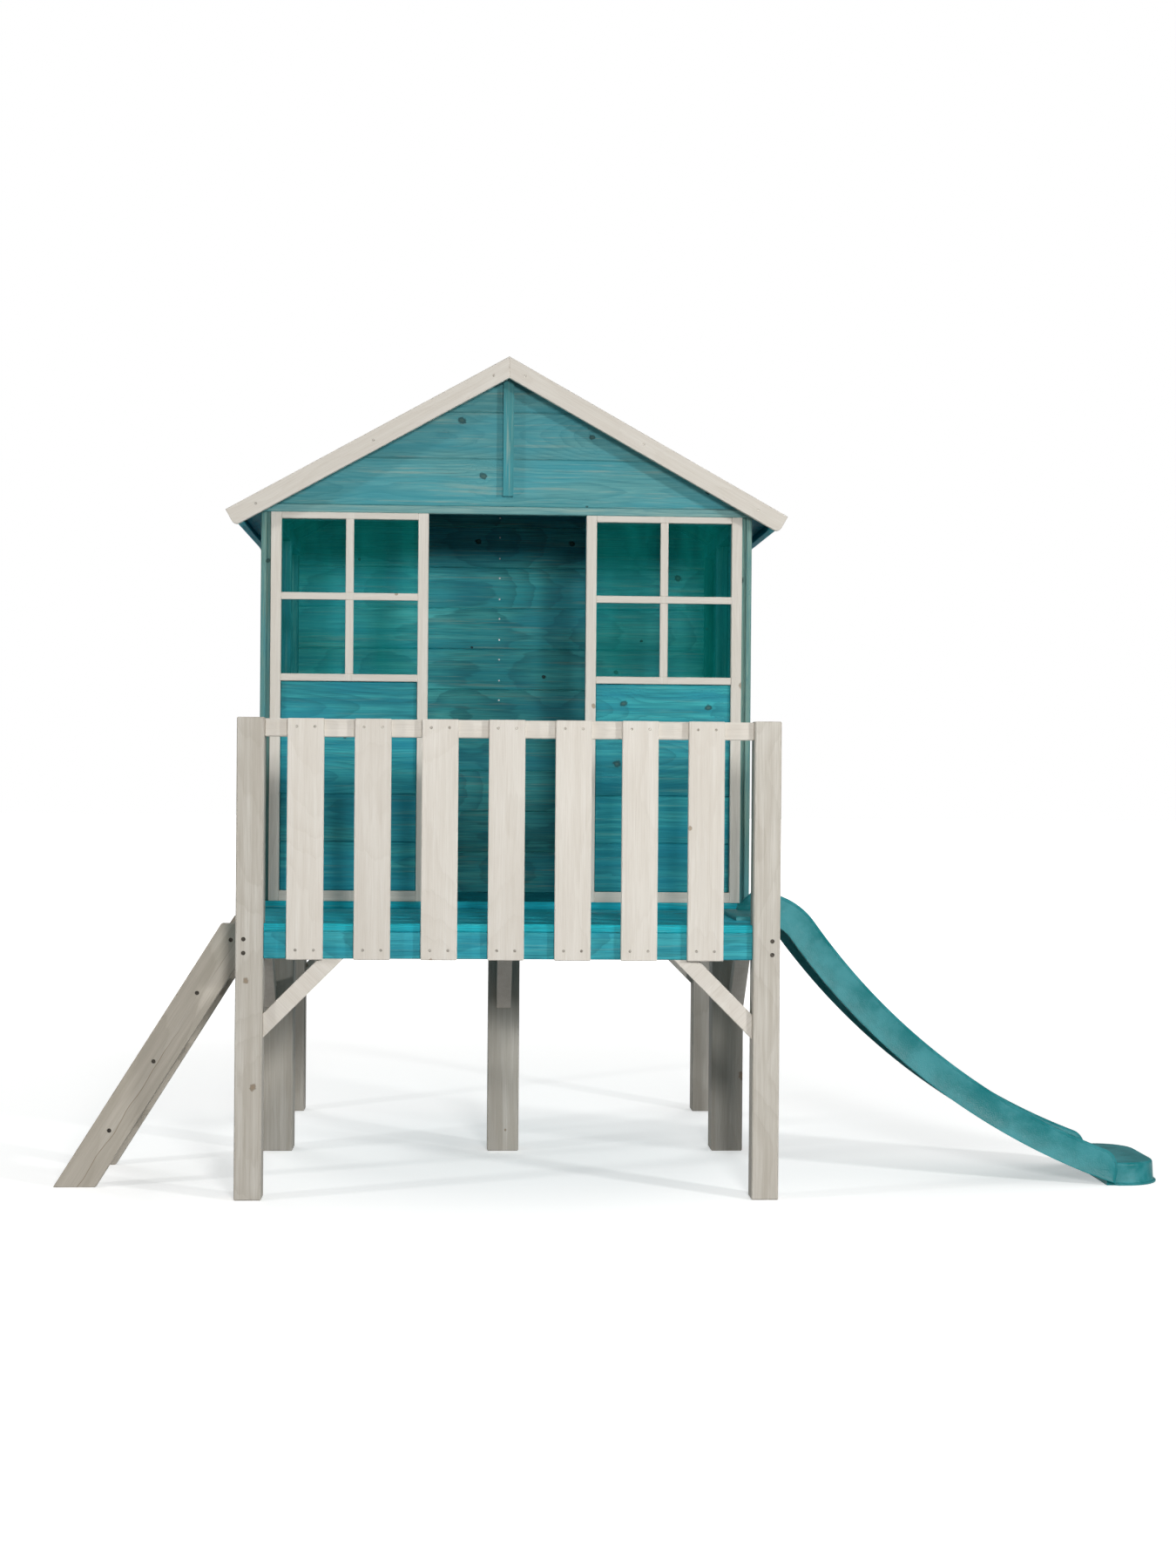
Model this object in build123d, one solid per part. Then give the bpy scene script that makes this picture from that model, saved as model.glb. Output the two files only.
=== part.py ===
from build123d import *
import math
import os

# Raised timber playhouse with a veranda, a ladder on the left and a moulded slide on the right.
# X runs to the slide, Y to the back and Z up. The origin is the centre of the foot of the
# middle post, so X = 0 is the centre line of the house. All sizes are in millimetres.

# ---- driving dimensions: platform and posts ----
HALF_WIDTH = 752.5            # outer faces of the posts
POST = 75                     # corner posts, square
MID_POST = 98                 # middle row posts, square
FRONT = -910                  # front faces of the front posts
BACK = 901                    # rear faces of the rear posts
FRAME_TOP = 740
FRAME_DEPTH = 75
BEAM = 45                     # thickness of beams and joists
FASCIA = 28                   # thickness of the front fascia and the top rail
SETBACK = 18                  # fascia and rail sit this far behind the post faces
DECK = 22                     # deck board thickness
POST_TOP = 1330
RAIL_LOW, RAIL_HIGH = 1277, 1327
PICKET_WIDTH, PICKET_PITCH, PICKET_COUNT = 100.5, 184.6, 7
PICKET_MIDDLE = -10           # the row of pickets stands a little left of the centre line
PICKET_LOW, PICKET_HIGH = 663, 1328
JOIST_X = 355                 # the outer joists, from the centre line
DECK_GAP, FLOOR_GAP = 6, 5    # between veranda boards and between floor boards
BRACE_FOOT = (445, 513)       # heights of a corner brace's foot on its post
MID_BRACE_FOOT = (447, 516)
EDGE = 2.5                    # eased edge of planed timber

# ---- driving dimensions: house ----
WALL_FRONT = -143             # front face of the white frames
WALL_HALF = 757               # outer face of the side cladding
CLAD = 16                     # cladding thickness
STUD = 38
PROUD = 12                    # white frames stand this far in front of the boards
SILL = 22                     # threshold height
DOOR_HALF = 243.5
FRAME_OUT = 727               # outer edge of a white frame
STRIP = 32                    # width of a frame stile
BAR = 22                      # height of a horizontal glazing bar
MUNTIN = 24.5                 # width of the upright glazing bar
WINDOW_LOW, WINDOW_MID, WINDOW_HIGH = 1461, 1711, 1960
HEADER = 24
PANE = 3
BOARD = 145                   # cladding board pitch
BACK_BOARD = 143              # the back wall's own pitch
BACK_STUD = 28                # small corner studs inside the back wall

# ---- driving dimensions: roof ----
PITCH = 29.1
APEX = 2456
HALF_SPAN = 860               # end of a bargeboard
BARGE_DEPTH, BARGE = 57, 18
ROOF_FRONT, ROOF_BACK = -210, 953
ROOF_SINK = 4                 # roof boards lie this far below the edge of the bargeboards
ROOF_BOARD = 14
ROOF_ROWS = 8
RAFTER = 38

# ---- driving dimensions: ladder ----
LADDER_NEAR, LADDER_FAR = -695, -282
LADDER_PITCH = 58
LADDER_FOOT = -1281
LADDER_TOP = 749
STRINGER_DEPTH, STRINGER = 101, 28
TREADS = ((-1124, 161), (-1001, 357), (-880, 551))
TREAD_DEPTH, TREAD = 90, 28
CLEAT = 50
CLEAT_BOLT = (-786, 702)

# ---- driving dimensions: slide ----
SLIDE_NEAR, SLIDE_FAR = -690, -290
ARC_X, ARC_Z = 2395, 1849     # centre of the long sweep
SKIRT_R, BED_R, RIM_R = 1948, 1910, 1872
SLIDE_WALL = 5
RIM_WIDTH = 30
LIP_X, LIP = 655, 12          # the lip lies on the deck
SIDE_X = 700                  # the side walls start here, on the lip
RIM_LEVEL = 838
CREST, CREST_IN = 8, (7, 5)   # bead along each rim: its height, and its gap to the outer and inner face
LEVEL_BEND = {"rim": 200, "bed": 100, "skirt": 124}   # radii over the edge of the deck
TOE_BEND = 150                # radius where the bed runs out level
NOSE = 70                     # length of the slope at the start of each side wall
TOE_START = 1690
TOE_X, TOE_TOP = 1904, 65
TOE_CORNER = 105
TOE_INSET = 10
TOE_FLANGE, TOE_FLANGE_HIGH = 7, 6
TOE_EASE = 8
SIDE_END_X, SIDE_END_R = 1765, 45

# ---- fasteners ----
BOLT_HEAD, BOLT_SHANK, BOLT_SINK = 12, 8, 3
SCREW_HEAD, SCREW_SHANK, SCREW_SINK = 8, 4, 1
NAIL_HEAD, NAIL_SHANK, NAIL_SINK = 6, 3, 0.5
HEAD_HIGH = 3
HOLE_CLEARANCE = 0.4
POST_BOLT_INSET, POST_BOLTS = 22, (681, 719)          # from the post's outer face, and heights
PICKET_SCREW_SPREAD, PICKET_SCREWS = 25, (690, 1305)  # from the picket's middle, and heights
BARGE_SCREWS = (48, 413, 768)                         # from the centre line
BRACE_SCREW_Z, BRACE_SCREW_IN = 487, 36
LIP_SCREWS = (-560, -420)
NAIL_X, NAIL_ROWS = -10, (32, 106)                    # heights above each back board's lower edge
POST_BOLT, LADDER_BOLT = 130, 55                      # shank lengths
PICKET_SCREW, BARGE_SCREW, BRACE_SCREW, LIP_SCREW, NAIL = 36, 12, 60, 26, 26

# ---- worked-out values ----
INNER = HALF_WIDTH - POST
FRAME_LOW = FRAME_TOP - FRAME_DEPTH
DECK_TOP = FRAME_TOP + DECK
FASCIA_FRONT = FRONT + SETBACK
FASCIA_BACK = FASCIA_FRONT + FASCIA
BOARD_FRONT = WALL_FRONT + PROUD
FRAMING_FRONT = BOARD_FRONT + CLAD
SILL_TOP = DECK_TOP + SILL
BACK_CLAD = BACK - CLAD
SIDE_CLAD = WALL_HALF - CLAD
HEADER_LOW = WINDOW_HIGH + 20
HEADER_TOP = HEADER_LOW + HEADER
SLOPE = math.tan(math.radians(PITCH))
UNDER_APEX = APEX - (ROOF_SINK + ROOF_BOARD) / math.cos(math.radians(PITCH))
RAFTER_APEX = UNDER_APEX - RAFTER / math.cos(math.radians(PITCH))
PLATE_TOP = RAFTER_APEX - SIDE_CLAD * SLOPE
MID_BRACES = (BEAM / 2 - HALF_WIDTH, 0, HALF_WIDTH - BEAM / 2)


# ---------------------------------------------------------------- helpers
def bar(x, y, z, edge=EDGE):
    """A squared timber that fills three (low, high) ranges, with its edges eased."""
    size = [high - low for low, high in (x, y, z)]
    middle = [(high + low) / 2 for low, high in (x, y, z)]
    solid = Pos(*middle) * Box(*size)
    return chamfer(solid.edges(), edge) if edge else solid


def outline(points):
    """A flat face from its corner points."""
    return make_face(Polyline(*points, close=True))


def along_y(face, low, high):
    """A face drawn in X and Z, made solid from one Y to another."""
    return extrude(Plane.XZ.offset(-high) * face, high - low)


def along_x(face, low, high):
    """A face drawn in Y and Z, made solid from one X to another."""
    return extrude(Plane.YZ.offset(low) * face, high - low)


def mirrored(part):
    """The same part on the other side of the centre line."""
    return mirror(part, about=Plane.YZ)


def rows(low, high, count, gap=0.0):
    """Equal (low, high) ranges that share a stretch, with a gap between neighbours."""
    width = (high - low - gap * (count - 1)) / count
    starts = [low + index * (width + gap) for index in range(count)]
    return [(start, start + width) for start in starts]


def courses(low, joints, high):
    """(low, high) ranges of boards from the heights of the joints between them."""
    heights = [low, *joints, high]
    return list(zip(heights[:-1], heights[1:]))


def roof_line(x, apex):
    """Height of a line with the roof's slope, at a distance from the centre line."""
    return apex - abs(x) * SLOPE


def gable(half, low, apex):
    """The outline of an end wall under the roof slope, as wide as the given half width."""
    shoulder = roof_line(half, apex)
    return outline([(-half, low), (half, low), (half, shoulder), (0, apex), (-half, shoulder)])


def fastener(place, turn, length, head, shank, sink, grow=0.0):
    """A headed pin that points along +Z before it is turned, its head sunk below the face."""
    top = Pos(0, 0, sink + HEAD_HIGH / 2) * Cylinder(head / 2 + grow, HEAD_HIGH)
    body = Pos(0, 0, sink + HEAD_HIGH + length / 2) * Cylinder(shank / 2 + grow, length)
    mouth = Pos(0, 0, sink / 2) * Cylinder(head / 2 + grow, sink)
    pin = top + body + mouth if grow else top + body
    return Pos(*place) * turn * pin


BACKWARD = Rot(-90, 0, 0)     # pins that are driven towards +Y
FORWARD = Rot(90, 0, 0)       # pins that are driven towards -Y
RIGHTWARD = Rot(0, 90, 0)
LEFTWARD = Rot(0, -90, 0)
DOWNWARD = Rot(180, 0, 0)


def pins_and_holes(places, length, head, shank, sink):
    """Pins at (place, direction) pairs, and the clearance holes that they need."""
    pins = [fastener(p, t, length, head, shank, sink) for p, t in places]
    grow = HOLE_CLEARANCE / 2
    holes = [fastener(p, t, length, head, shank, sink, grow) for p, t in places]
    return pins, holes


def bolts_and_holes(places, length):
    """Bolts and their holes."""
    return pins_and_holes(places, length, BOLT_HEAD, BOLT_SHANK, BOLT_SINK)


def screws_and_holes(places, length):
    """Screws and their holes."""
    return pins_and_holes(places, length, SCREW_HEAD, SCREW_SHANK, SCREW_SINK)


def drilled(part, holes):
    """A part with the holes that reach it cut out."""
    box = part.bounding_box()
    near = [hole for hole in holes if box.overlaps(hole.bounding_box())]
    return part.cut(*near) if near else part


# ---------------------------------------------------------------- fastener places
def post_bolt_places():
    """Two bolts through each corner post into the end of its side beam."""
    x = HALF_WIDTH - POST_BOLT_INSET
    front = [((s * x, FRONT, z), BACKWARD) for s in (-1, 1) for z in POST_BOLTS]
    rear = [((s * x, BACK, z), FORWARD) for s in (-1, 1) for z in POST_BOLTS]
    return front + rear


def ladder_bolt_places():
    """One bolt from each side into every tread and into the top cleat."""
    ends = [*TREADS, CLEAT_BOLT]
    near = [((x, LADDER_NEAR, z), BACKWARD) for x, z in ends]
    far = [((x, LADDER_FAR, z), FORWARD) for x, z in ends]
    return near + far


def picket_middles():
    """X of the middle of each picket."""
    first = PICKET_MIDDLE - PICKET_PITCH * (PICKET_COUNT - 1) / 2
    return [first + index * PICKET_PITCH for index in range(PICKET_COUNT)]


def picket_screw_places():
    """Two screws at the top and two at the bottom of every picket."""
    return [((x + side * PICKET_SCREW_SPREAD, FRONT, z), BACKWARD)
            for x in picket_middles() for side in (-1, 1) for z in PICKET_SCREWS]


def barge_screw_places():
    """Three screws along each bargeboard."""
    places = []
    for x in BARGE_SCREWS:
        z = roof_line(x, APEX) - BARGE_DEPTH / 2 / math.cos(math.radians(PITCH))
        places += [((side * x, ROOF_FRONT, z), BACKWARD) for side in (-1, 1)]
        places += [((side * x, ROOF_BACK, z), FORWARD) for side in (-1, 1)]
    return places


def brace_screw_places():
    """One screw in the foot of every brace."""
    z = BRACE_SCREW_Z
    middle = [((x, -MID_POST / 2 - 30, z - 6), BACKWARD) for x in MID_BRACES]
    y_front = FASCIA_FRONT + BEAM / 2
    y_back = BACK - BEAM / 2
    corner = [((side * (INNER - BRACE_SCREW_IN), y, z), RIGHTWARD if side > 0 else LEFTWARD)
              for side in (-1, 1) for y in (y_front, y_back)]
    return middle + corner


def lip_screw_places():
    """Two screws hold the slide's lip to the deck."""
    return [((LIP_X + 20, y, DECK_TOP + LIP), DOWNWARD) for y in LIP_SCREWS]


def back_nail_places():
    """Two nails through every full back board into the batten outside."""
    return [((NAIL_X, BACK_CLAD, low + height), BACKWARD)
            for low, _ in back_courses()[:-1] for height in NAIL_ROWS]


# ---------------------------------------------------------------- platform

def corner_post(side, y_low, top):
    """A square corner post that stands on the ground."""
    x = sorted((side * INNER, side * HALF_WIDTH))
    return bar(x, (y_low, y_low + POST), (0, top), 3)


def mid_post(x):
    """A wider post of the middle row, under the frame."""
    half = MID_POST / 2
    return bar((x - half, x + half), (-half, half), (0, FRAME_LOW), 3)


def side_beam(side):
    """A beam between the front and rear posts, flush with their outer faces."""
    x = sorted((side * (HALF_WIDTH - BEAM), side * HALF_WIDTH))
    return bar(x, (FRONT + POST, BACK - POST), (FRAME_LOW, FRAME_TOP))


def cross_beam(x_half, y_low, thickness):
    """A member of the platform frame that runs across the house."""
    return bar((-x_half, x_half), (y_low, y_low + thickness), (FRAME_LOW, FRAME_TOP))


def joists():
    """Three joists in the front bay and three in the rear bay."""
    bays = ((FASCIA_BACK, -BEAM / 2), (BEAM / 2, BACK - BEAM))
    return [bar((x - BEAM / 2, x + BEAM / 2), bay, (FRAME_LOW, FRAME_TOP))
            for x in (-JOIST_X, 0, JOIST_X) for bay in bays]


def deck_boards():
    """Veranda boards across the frame; the first is notched round the front posts."""
    clear = 1
    boards = [bar((-HALF_WIDTH, HALF_WIDTH), y, (FRAME_TOP, DECK_TOP))
              for y in rows(FASCIA_FRONT, WALL_FRONT, 5, DECK_GAP)]
    for side in (-1, 1):
        x = sorted((side * (INNER - clear), side * (HALF_WIDTH + clear)))
        notch = bar(x, (FRONT, FRONT + POST + clear), (FRAME_TOP - 1, DECK_TOP + 1), 0)
        boards[0] = boards[0] - notch
    return boards


def floor_boards():
    """House floor boards across the frame."""
    return [bar((-HALF_WIDTH, HALF_WIDTH), y, (FRAME_TOP, DECK_TOP))
            for y in rows(WALL_FRONT, BACK, 7, FLOOR_GAP)]


def corner_brace(side, y_low):
    """A 45 degree brace between a corner post and the frame, in the plane of the front."""
    foot_low, foot_high = BRACE_FOOT
    run_low, run_high = FRAME_LOW - foot_low, FRAME_LOW - foot_high
    points = [(INNER, foot_low), (INNER, foot_high),
              (INNER - run_high, FRAME_LOW), (INNER - run_low, FRAME_LOW)]
    points = [(side * x, z) for x, z in points]
    return chamfer(along_y(outline(points), y_low, y_low + BEAM).edges(), 1.5)


def mid_brace(x):
    """A 45 degree brace from a middle post forward to the frame."""
    face = -MID_POST / 2
    foot_low, foot_high = MID_BRACE_FOOT
    points = [(face, foot_low), (face, foot_high),
              (face - (FRAME_LOW - foot_high), FRAME_LOW), (face - (FRAME_LOW - foot_low), FRAME_LOW)]
    return chamfer(along_x(outline(points), x - BEAM / 2, x + BEAM / 2).edges(), 1.5)


def picket(x):
    """A flat upright of the balustrade."""
    half = PICKET_WIDTH / 2
    return bar((x - half, x + half), (FRONT, FASCIA_FRONT), (PICKET_LOW, PICKET_HIGH), 2)


# ---------------------------------------------------------------- house walls
def window_frame():
    """White strips of the right-hand front panel: stiles, rails and glazing bars."""
    y = (WALL_FRONT, FRAMING_FRONT)
    thin = (WALL_FRONT, BOARD_FRONT)
    low, high = DOOR_HALF + STRIP, FRAME_OUT - STRIP
    middle = (low + high) / 2
    upright = (middle - MUNTIN / 2, middle + MUNTIN / 2)
    pieces = [bar(x, y, (SILL_TOP, HEADER_LOW), 1.5)
              for x in ((DOOR_HALF, low), (high, FRAME_OUT))]
    rails = ((SILL_TOP, SILL_TOP + STRIP), (WINDOW_LOW, WINDOW_LOW + BAR), (WINDOW_HIGH, HEADER_LOW))
    pieces += [bar((low, high), y, z, 1.5) for z in rails]
    pieces.append(bar((low, high), thin, (WINDOW_MID, WINDOW_MID + BAR), 1.5))
    pieces.append(bar(upright, thin, (WINDOW_LOW + BAR, WINDOW_MID), 1.5))
    pieces.append(bar(upright, thin, (WINDOW_MID + BAR, WINDOW_HIGH), 1.5))
    return pieces


def window_pane():
    """A clear sheet behind the glazing bars of the right-hand window."""
    x = (DOOR_HALF + STRIP, FRAME_OUT - STRIP)
    return bar(x, (BOARD_FRONT, BOARD_FRONT + PANE), (WINDOW_LOW + BAR, WINDOW_HIGH), 0.3)


def front_boards():
    """Horizontal boards of the right-hand front panel, under the window."""
    x = (DOOR_HALF + STRIP, FRAME_OUT - STRIP)
    heights = courses(SILL_TOP + STRIP, (966, 1113, 1300), WINDOW_LOW)
    return [bar(x, (BOARD_FRONT, FRAMING_FRONT), z, 3.5) for z in heights]


def front_sill():
    """The threshold that the front wall stands on."""
    return bar((-WALL_HALF, WALL_HALF), (WALL_FRONT, FRAMING_FRONT), (DECK_TOP, SILL_TOP))


def door_header():
    """The strip across the front over the windows and the doorway."""
    return bar((-WALL_HALF, WALL_HALF), (WALL_FRONT, FRAMING_FRONT), (HEADER_LOW, HEADER_TOP))


def gable_boards():
    """Boards of the front gable, cut to the roof slope."""
    wall = along_y(gable(WALL_HALF, HEADER_TOP, UNDER_APEX), BOARD_FRONT, FRAMING_FRONT)
    x = (-WALL_HALF, WALL_HALF)
    heights = courses(HEADER_TOP, (2151, 2151 + BOARD), APEX)
    return [bar(x, (BOARD_FRONT, FRAMING_FRONT), z, 3) & wall for z in heights]


def king_post():
    """The narrow upright on the front gable, pointed to fit under the ridge."""
    half = STRIP / 2
    low = 2036
    return along_y(gable(half, low, UNDER_APEX), BOARD_FRONT - 20, BOARD_FRONT)


def back_courses():
    """Heights of the back wall boards."""
    joints = [DECK_TOP + BACK_BOARD * index for index in range(1, 12)]
    return courses(DECK_TOP, joints, APEX)


def back_boards():
    """Boards of the back wall and rear gable, cut to the roof slope."""
    wall = along_y(gable(WALL_HALF, DECK_TOP, UNDER_APEX), BACK_CLAD, BACK)
    x = (-WALL_HALF, WALL_HALF)
    return [bar(x, (BACK_CLAD, BACK), z, 3) & wall for z in back_courses()]


def back_batten():
    """The upright outside the back wall that ties its boards together."""
    half = 22
    return along_y(gable(half, DECK_TOP, UNDER_APEX), BACK, BACK + 20)


def side_boards():
    """Horizontal boards of the right-hand side wall."""
    top = roof_line(WALL_HALF, UNDER_APEX)
    joints = [DECK_TOP + BOARD * index for index in range(1, 9)]
    y = (FRAMING_FRONT, BACK_CLAD)
    return [bar((SIDE_CLAD, WALL_HALF), y, z, 3) for z in courses(DECK_TOP, joints, top)]


def corner_trims():
    """Right-hand corner strips: a front trim, the recessed strip beside it and a rear trim."""
    front = bar((SIDE_CLAD - 1, WALL_HALF), (WALL_FRONT, FRAMING_FRONT), (SILL_TOP, HEADER_LOW))
    recessed = bar((FRAME_OUT, SIDE_CLAD - 1), (BOARD_FRONT, FRAMING_FRONT), (SILL_TOP, HEADER_LOW), 1)
    rear = bar((FRAME_OUT, WALL_HALF), (BACK, BACK + PROUD), (DECK_TOP, HEADER_TOP), 2)
    return [front, recessed, rear]


def front_studs():
    """Right-hand door and corner studs of the front wall, with the plate over the window."""
    y = (FRAMING_FRONT, FRAMING_FRONT + STUD)
    plate_low = PLATE_TOP - 20
    uprights = [bar(x, y, (DECK_TOP, plate_low)) for x in
                ((DOOR_HALF, DOOR_HALF + STRIP), (FRAME_OUT - STRIP, SIDE_CLAD))]
    return uprights + [bar((DOOR_HALF, SIDE_CLAD), y, (plate_low, PLATE_TOP))]


def side_frame():
    """Bottom plate, top plate and a middle stud of the right-hand side wall."""
    x = (SIDE_CLAD - STUD, SIDE_CLAD)
    y = (FRAMING_FRONT + STUD, BACK_CLAD - BACK_STUD)
    middle = (y[0] + y[1]) / 2
    plates = [bar(x, y, (DECK_TOP, DECK_TOP + STUD)), bar(x, y, (PLATE_TOP - STUD, PLATE_TOP))]
    stud = bar(x, (middle - STUD / 2, middle + STUD / 2), (DECK_TOP + STUD, PLATE_TOP - STUD))
    return plates + [stud]


def back_studs():
    """A small stud inside each corner of the back wall."""
    x = (SIDE_CLAD - BACK_STUD, SIDE_CLAD)
    stud = bar(x, (BACK_CLAD - BACK_STUD, BACK_CLAD), (DECK_TOP, PLATE_TOP))
    return [stud, mirrored(stud)]


# ---------------------------------------------------------------- roof
def on_slope(part):
    """Moves a part from the slope's own frame (X down the slope) to the right-hand slope."""
    return Pos(0, 0, APEX) * Rot(0, PITCH, 0) * part


def roof_boards():
    """Boards of the right-hand slope, from the ridge to the eave fascia."""
    low = (ROOF_SINK + ROOF_BOARD) * SLOPE
    high = eave_end() - BARGE
    w = (-ROOF_SINK - ROOF_BOARD, -ROOF_SINK)
    y = (ROOF_FRONT + BARGE, ROOF_BACK - BARGE)
    return [on_slope(bar(u, y, w, 2)) for u in rows(low, high, ROOF_ROWS)]


def eave_end():
    """Distance down the slope from the ridge to the outer face of the eave fascia."""
    inset = 12
    return HALF_SPAN / math.cos(math.radians(PITCH)) - inset


def eave_fascia():
    """The board that closes the lower edge of the right-hand slope."""
    end = eave_end()
    y = (ROOF_FRONT + BARGE, ROOF_BACK - BARGE)
    return on_slope(bar((end - BARGE, end), y, (-BARGE_DEPTH, -ROOF_SINK), 2))


def bargeboard(y_low):
    """A right-hand bargeboard: plumb cut at the apex, rounded at its lower corner."""
    turn = math.radians(PITCH)
    end = (HALF_SPAN, roof_line(HALF_SPAN, APEX))
    corner = (end[0] - BARGE_DEPTH * math.sin(turn), end[1] - BARGE_DEPTH * math.cos(turn))
    face = outline([(0, APEX), end, corner, (0, APEX - BARGE_DEPTH / math.cos(turn))])
    lowest = face.vertices().sort_by(Axis.Y)[0]
    board = along_y(fillet(lowest, 18), y_low, y_low + BARGE)
    rims = board.faces().sort_by(Axis.Y)
    return chamfer(rims[0].edges() + rims[-1].edges(), 1.5)


def rafters():
    """Right-hand rafters: one pair inside each gable and a pair at the ridge board's middle."""
    ridge = 14
    deep = RAFTER_APEX
    end = SIDE_CLAD
    front, rear = FRAMING_FRONT, BACK_CLAD - STUD
    middle = (front + rear) / 2
    made = []
    for y, start in ((front, 0), (middle, ridge), (rear, 0)):
        face = outline([(start, roof_line(start, UNDER_APEX)), (end, roof_line(end, UNDER_APEX)),
                        (end, roof_line(end, deep)), (start, roof_line(start, deep))])
        made.append(along_y(face, y, y + STUD))
    return made


def ridge_board():
    """The board that the middle rafters meet on, between the gables."""
    half, depth = 14, 70
    top = roof_line(half, UNDER_APEX)
    y = (FRAMING_FRONT + STUD, BACK_CLAD - STUD)
    return bar((-half, half), y, (top - depth, top), 1)


def ridge_cap():
    """A thin folded strip over the joint between the two slopes."""
    half, thick = 62, 3
    turn = math.cos(math.radians(PITCH))
    low = APEX - ROOF_SINK / turn
    high = low + thick / turn
    face = outline([(-half, roof_line(half, low)), (0, low), (half, roof_line(half, low)),
                    (half, roof_line(half, high)), (0, high), (-half, roof_line(half, high))])
    return along_y(face, ROOF_FRONT + BARGE, ROOF_BACK - BARGE)


# ---------------------------------------------------------------- ladder
def stringer(y_low):
    """A sloping side of the ladder, cut level at the ground and upright at the side beam."""
    rise = math.tan(math.radians(LADDER_PITCH))
    width = STRINGER_DEPTH / math.sin(math.radians(LADDER_PITCH))
    heel = LADDER_FOOT + width
    wall = -HALF_WIDTH
    points = [(LADDER_FOOT, 0), (heel, 0), (wall, (wall - heel) * rise),
              (wall, LADDER_TOP), (LADDER_FOOT + LADDER_TOP / rise, LADDER_TOP)]
    solid = along_y(outline(points), y_low, y_low + STRINGER)
    return chamfer(solid.edges(), 2)


def treads():
    """Level treads between the stringers."""
    y = (LADDER_NEAR + STRINGER, LADDER_FAR - STRINGER)
    half = TREAD_DEPTH / 2
    return [bar((x - half, x + half), y, (z - TREAD / 2, z + TREAD / 2), 3) for x, z in TREADS]


def ladder_cleat():
    """The block between the stringers that is fixed to the side beam."""
    y = (LADDER_NEAR + STRINGER, LADDER_FAR - STRINGER)
    return bar((-HALF_WIDTH - CLEAT, -HALF_WIDTH), y, (FRAME_LOW, FRAME_TOP))


# ---------------------------------------------------------------- slide
def polar(x, z, radius, angle):
    """A point at a radius and angle from a centre; the angle is measured from straight down."""
    turn = math.radians(angle)
    return (x - radius * math.sin(turn), z - radius * math.cos(turn))


def sweep_down(level, bend, sweep, x_start, end_angle):
    """Lines of the slide: level, bent over the deck's edge, then down the long sweep."""
    centre_z = level - bend
    reach = math.sqrt((bend + sweep) ** 2 - (ARC_Z - centre_z) ** 2)
    bend_x = ARC_X - reach
    turn = math.degrees(math.asin(reach / (bend + sweep)))
    over = polar(bend_x, centre_z, -bend, turn)
    over_mid = polar(bend_x, centre_z, -bend, turn / 2)
    down_mid = polar(ARC_X, ARC_Z, sweep, (turn + end_angle) / 2)
    down = polar(ARC_X, ARC_Z, sweep, end_angle)
    lines = [Line((x_start, level), (bend_x, level)),
             ThreePointArc((bend_x, level), over_mid, over),
             ThreePointArc(over, down_mid, down)]
    return lines, down


def bed_line(drop):
    """The sliding surface, or a surface below it: the long sweep, then level on to the toe."""
    sweep, level = BED_R + drop, TOE_TOP - drop
    blend = TOE_BEND + drop
    centre_z = level + blend
    reach = math.sqrt((sweep - blend) ** 2 - (ARC_Z - centre_z) ** 2)
    angle = math.degrees(math.asin(reach / (sweep - blend)))
    lines, down = sweep_down(DECK_TOP + LIP - drop, LEVEL_BEND["bed"] - drop, sweep, LIP_X - 50, angle)
    bottom = (ARC_X - reach, level)
    middle = polar(ARC_X - reach, centre_z, blend, angle / 2)
    far = (TOE_X + 50, level)
    return lines + [ThreePointArc(down, middle, bottom), Line(bottom, far)], far


def above_bed():
    """The space over the sliding surface."""
    lines, far = bed_line(0)
    top = 900
    start = (LIP_X - 50, DECK_TOP + LIP)
    lines += [Line(far, (far[0], top)), Line((far[0], top), (start[0], top)),
              Line((start[0], top), start)]
    return make_face(lines)


def below_bed():
    """The space under the moulded bed, outside the deck."""
    lines, far = bed_line(SLIDE_WALL)
    start = (LIP_X - 50, DECK_TOP + LIP - SLIDE_WALL)
    low = -10
    lines += [Line(far, (far[0], low)), Line((far[0], low), (start[0], low)),
              Line((start[0], low), start)]
    beyond = Pos((HALF_WIDTH + TOE_X) / 2 + 60, 400) * Rectangle(TOE_X - HALF_WIDTH + 100, 900)
    return make_face(lines) & beyond


def side_band(x_start, x_end, thinner, deeper):
    """The band of the side wall between two X values, lowered at its rim and deepened below."""
    start = SIDE_X - 60
    past_end = 18
    rim, rim_end = sweep_down(RIM_LEVEL - thinner, LEVEL_BEND["rim"] - thinner, RIM_R + thinner,
                              start, past_end)
    skirt, skirt_end = sweep_down(DECK_TOP - deeper, LEVEL_BEND["skirt"] - deeper, SKIRT_R + deeper,
                                  start, past_end)
    closing = [Line(rim_end, skirt_end), Line((start, DECK_TOP - deeper), (start, RIM_LEVEL - thinner))]
    keep = Pos((x_start + x_end) / 2, 450) * Rectangle(x_end - x_start, 1000)
    band = make_face(rim + skirt + closing) & keep
    ends = band.vertices().filter_by_position(Axis.X, x_end - 1, x_end + 1)
    return fillet(ends.sort_by(Axis.Y)[-1], SIDE_END_R - thinner)


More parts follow.
